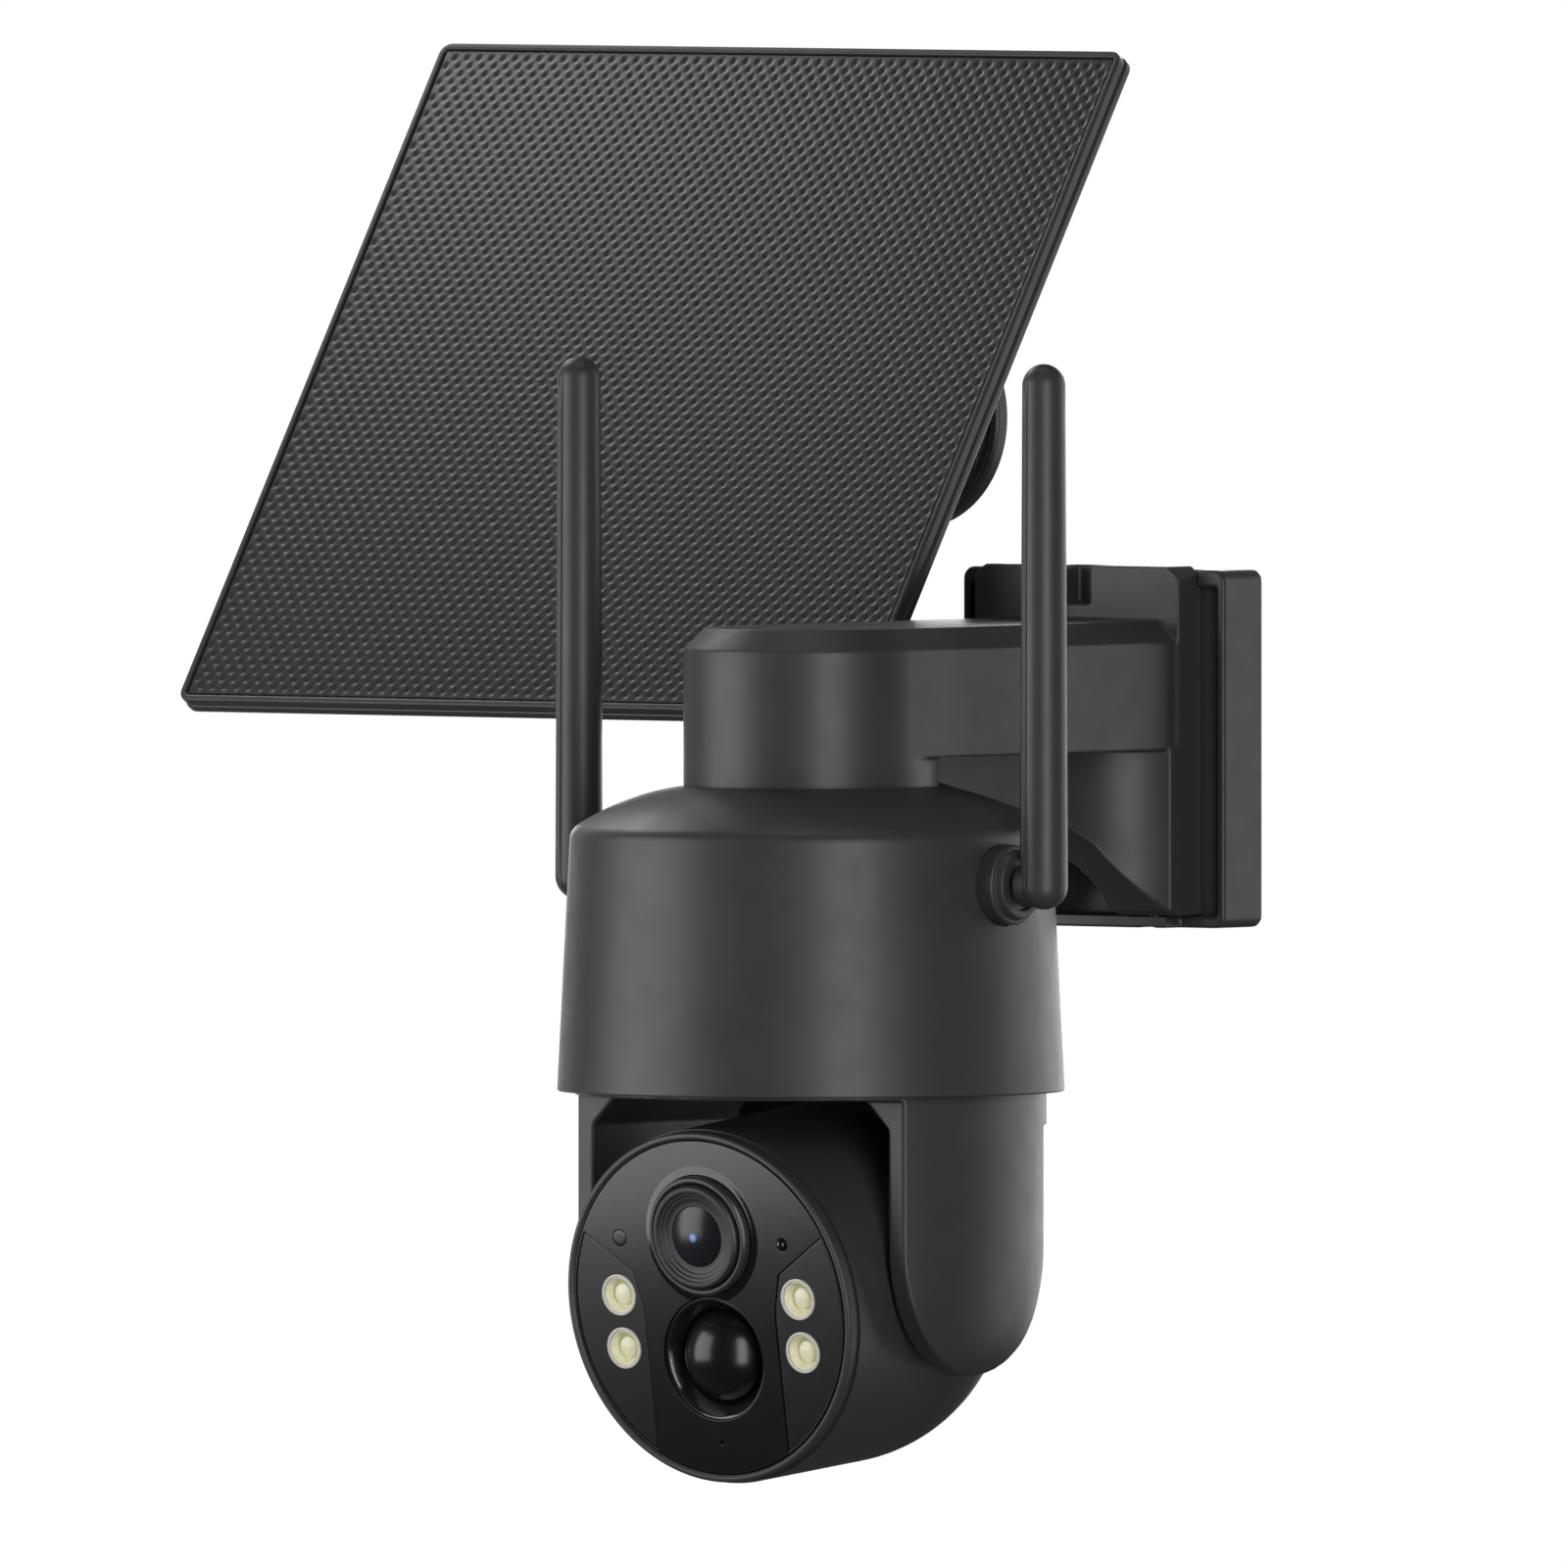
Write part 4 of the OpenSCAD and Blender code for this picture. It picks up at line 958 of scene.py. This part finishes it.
def panel_arm():
    hub = prism("panel_link_arm", circle(10, 128, BASE_AT.x, BASE_AT.z), -HUB_END, -HUB_FRONT, AXIS, ALONG_Y)
    run = Vector((BASE_AT.x - PIN_AT.x, BASE_AT.z - PIN_AT.z))
    side = Vector((-run.y, run.x)).normalized() * EYE_R
    start, end = Vector((PIN_AT.x, PIN_AT.z)), Vector((BASE_AT.x, BASE_AT.z))
    strip = [start - side, end - side, end + side, start + side]
    link = prism("link", [tuple(p) for p in strip], -HUB_FRONT - LINK_T, -HUB_FRONT, AXIS, ALONG_Y)
    bend = circle(EYE_R, 96, PIN_AT.x, PIN_AT.z)
    elbow = prism("elbow", bend, -HUB_FRONT - LINK_T, -HUB_FRONT, AXIS, ALONG_Y)
    tab = block((PIN_AT.x - 3, PIN_AT.y, PIN_AT.z - 5), (PIN_AT.x + 3, HUB_FRONT + 3, PIN_AT.z + 5), AXIS)
    eye = prism("eye", circle(EYE_R, 96, PIN_AT.y, PIN_AT.z), PIN_AT.x - 3, PIN_AT.x + 3, AXIS, ALONG_X)
    add(hub, link, elbow, tab, eye)
    bore = prism("bore", circle(4.05, 64, BASE_AT.x, BASE_AT.z), -HUB_END - 5, -HUB_FRONT + 5, AXIS, ALONG_Y)
    pin = prism("pin bore", circle(2.55, 48, PIN_AT.y, PIN_AT.z), PIN_AT.x - 9, PIN_AT.x + 9, AXIS, ALONG_X)
    cut(hub, bore, pin)
    soften(hub, 0.4, 8)
    done(hub, MATERIAL["panel_frame"], "panel_link", "panel_frame", "panel_arm")


def panel_base():
    low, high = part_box("panel_base")
    r = (high.x - low.x) / 2 / MM
    turn = shift(*BASE_AT) @ ALONG_Y
    base = lathe("wall_base", rounded([
        (4.02, 0, 0), (r, 0, 0.3), (r, 3, 0.3), (r - 0.6, 3.6, 0.3), (r - 2.2, 3.6, 0.2), (r - 2.6, 2.7, 0.2),
        (r - 3.9, 2.7, 0.2), (r - 4.3, 3.3, 0.2), (r - 5.4, 3.3, 0.3), (r - 6, 2.5, 0.3), (9, 2.5, 1),
        (7, 4.6, 0.8), (7, 13, 0.6), (4.02, 13, 0.3)
    ]), AXIS, turn, 192)
    seats, holes = [], []
    screws = {m["name"]: m for m in frame["record"]["mounts"]}["panel_base_screws"]["dims"]
    for a in np.radians((-30, 90, 210)):
        x, y = (screws["pcd_mm"] / 2 * f(a) for f in (math.cos, math.sin))
        seat = rounded([(0, 1, 0), (3.2, 1, 0), (3.2, 3.9, 0.4), (0, 3.9, 0)])
        seats.append(lathe("seat", seat, AXIS, turn @ shift(x, y, 0), 64))
        holes.append(prism("hole", circle(screws["hole_r_mm"], 48, x, y), -1, 9, AXIS, turn))
    add(base, *seats)
    cut(base, *holes)
    shade(base, 30)
    done(base, MATERIAL["panel_frame"], "mount", "panel_frame", "panel_base")


# ---------- floor, light and camera ----------

# Each softbox: its name, the bearing it stands on (0 in front, 90 to the right), how far out and
# how high above the tilt axis its middle is, its width and height, all in metres, and how bright
# its face is.
SOFTBOXES = [
    ("front left", -42, 0.62, 0.13, 0.50, 0.56, 3.0),
    ("right strip", 55, 0.90, 0.10, 0.34, 1.00, 4.6),
    ("left side", -118, 1.10, 0.10, 0.60, 1.20, 0.8),
    ("back", 198, 1.50, 0.25, 1.90, 1.00, 2.0),
    ("horizon", 216, 1.80, 0.33, 1.00, 0.50, 6.0),
    ("right back", 150, 1.50, 0.10, 0.60, 1.20, 1.6),
    ("above left", -107, 0.585, 0.60, 0.28, 0.38, 5.2),
    ("overhead", 0, 0.05, 1.30, 0.60, 0.60, 0.9),
]
WORLD_LIGHT = 0.07
FLOOR_HALF, FLOOR_DROP = 0.5, 0.6


def softbox(name, bearing, out, up, width, height, glow):
    """A rectangular light that faces the tilt axis level, or straight down if it is overhead."""
    a = math.radians(bearing)
    light = bpy.data.lights.new(name, "AREA")
    light.shape = "RECTANGLE"
    light.size, light.size_y, light.energy = width, height, glow * math.pi * width * height
    lamp = bpy.data.objects.new(name, light)
    SCENE.collection.objects.link(lamp)
    lamp.location = PIVOT + Vector((math.sin(a) * out, -math.cos(a) * out, up))
    facing = Vector((-math.sin(a), math.cos(a), 0)) if abs(up) < out else Vector((0, 0, -1))
    lamp.rotation_mode = "QUATERNION"
    lamp.rotation_quaternion = facing.to_track_quat("-Z", "Y")
    lamp.visible_camera = False


def studio():
    """A plain pale floor well below the object, the softboxes, and a white surround."""
    low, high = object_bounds()
    s, z = FLOOR_HALF, low.z - FLOOR_DROP
    corners = [(-s, -s, z), (s, -s, z), (s, s, z), (-s, s, z)]
    mesh = bpy.data.meshes.new("floor")
    mesh.from_pydata(corners, [], [(0, 1, 2, 3)])
    plane = bpy.data.objects.new("floor", mesh)
    SCENE.collection.objects.link(plane)
    pale, tree, shader, at = new_material("pale floor")
    shader.inputs["Base Color"].default_value = (0.8, 0.8, 0.8, 1)
    shader.inputs["Roughness"].default_value = 0.8
    shader.inputs["Emission Color"].default_value = (1, 1, 1, 1)
    shader.inputs["Emission Strength"].default_value = 0.97
    mesh.materials.append(pale)
    plane.visible_diffuse = False
    plane.visible_glossy = False
    plane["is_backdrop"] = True
    for light in SOFTBOXES:
        softbox(*light)
    world = bpy.data.worlds.new("studio")
    SCENE.world = world
    world.use_nodes = True
    tree = world.node_tree
    dim = tree.nodes["Background"]
    dim.inputs["Color"].default_value = (1, 1, 1, 1)
    dim.inputs["Strength"].default_value = WORLD_LIGHT
    seen = node(tree, "ShaderNodeBackground", Color=(1, 1, 1, 1), Strength=1.0)
    rays = node(tree, "ShaderNodeLightPath")
    pick = node(tree, "ShaderNodeMixShader")
    tree.links.new(rays.outputs["Is Camera Ray"], pick.inputs["Fac"])
    tree.links.new(dim.outputs[0], pick.inputs[1])
    tree.links.new(seen.outputs[0], pick.inputs[2])
    tree.links.new(pick.outputs[0], tree.nodes["World Output"].inputs["Surface"])
    SCENE.view_settings.view_transform = "Standard"
    SCENE.view_settings.look = "None"


def camera():
    lens, sensor, view_width = 1650, 36, 340.4
    azimuth, elevation = math.radians(38), math.radians(1.5)
    target = ORIGIN + Vector((-4.6, -3.6, -6.0)) * MM
    distance = view_width * MM * lens / sensor
    back = Vector((
        math.sin(azimuth) * math.cos(elevation), -math.cos(azimuth) * math.cos(elevation), math.sin(elevation)
    ))
    data = bpy.data.cameras.new("camera")
    data.lens, data.sensor_width, data.clip_end = lens, sensor, 100
    obj = bpy.data.objects.new("camera", data)
    SCENE.collection.objects.link(obj)
    obj.location = target + back * distance
    obj.rotation_mode = "QUATERNION"
    obj.rotation_quaternion = (-back).to_track_quat("-Z", "Y")
    SCENE.camera = obj


camera()
finish_cad_nodes()
bracket()
wall_plate()
housing()
bosses()
antenna(-1, "left")
antenna(1, "right")
yoke()
head_shell()
bezel()
face_plate()
leds()
camera_lens()
infrared_lens()
small_parts()
panel_face()
panel_frame()
knuckle()
panel_arm()
panel_base()
studio()
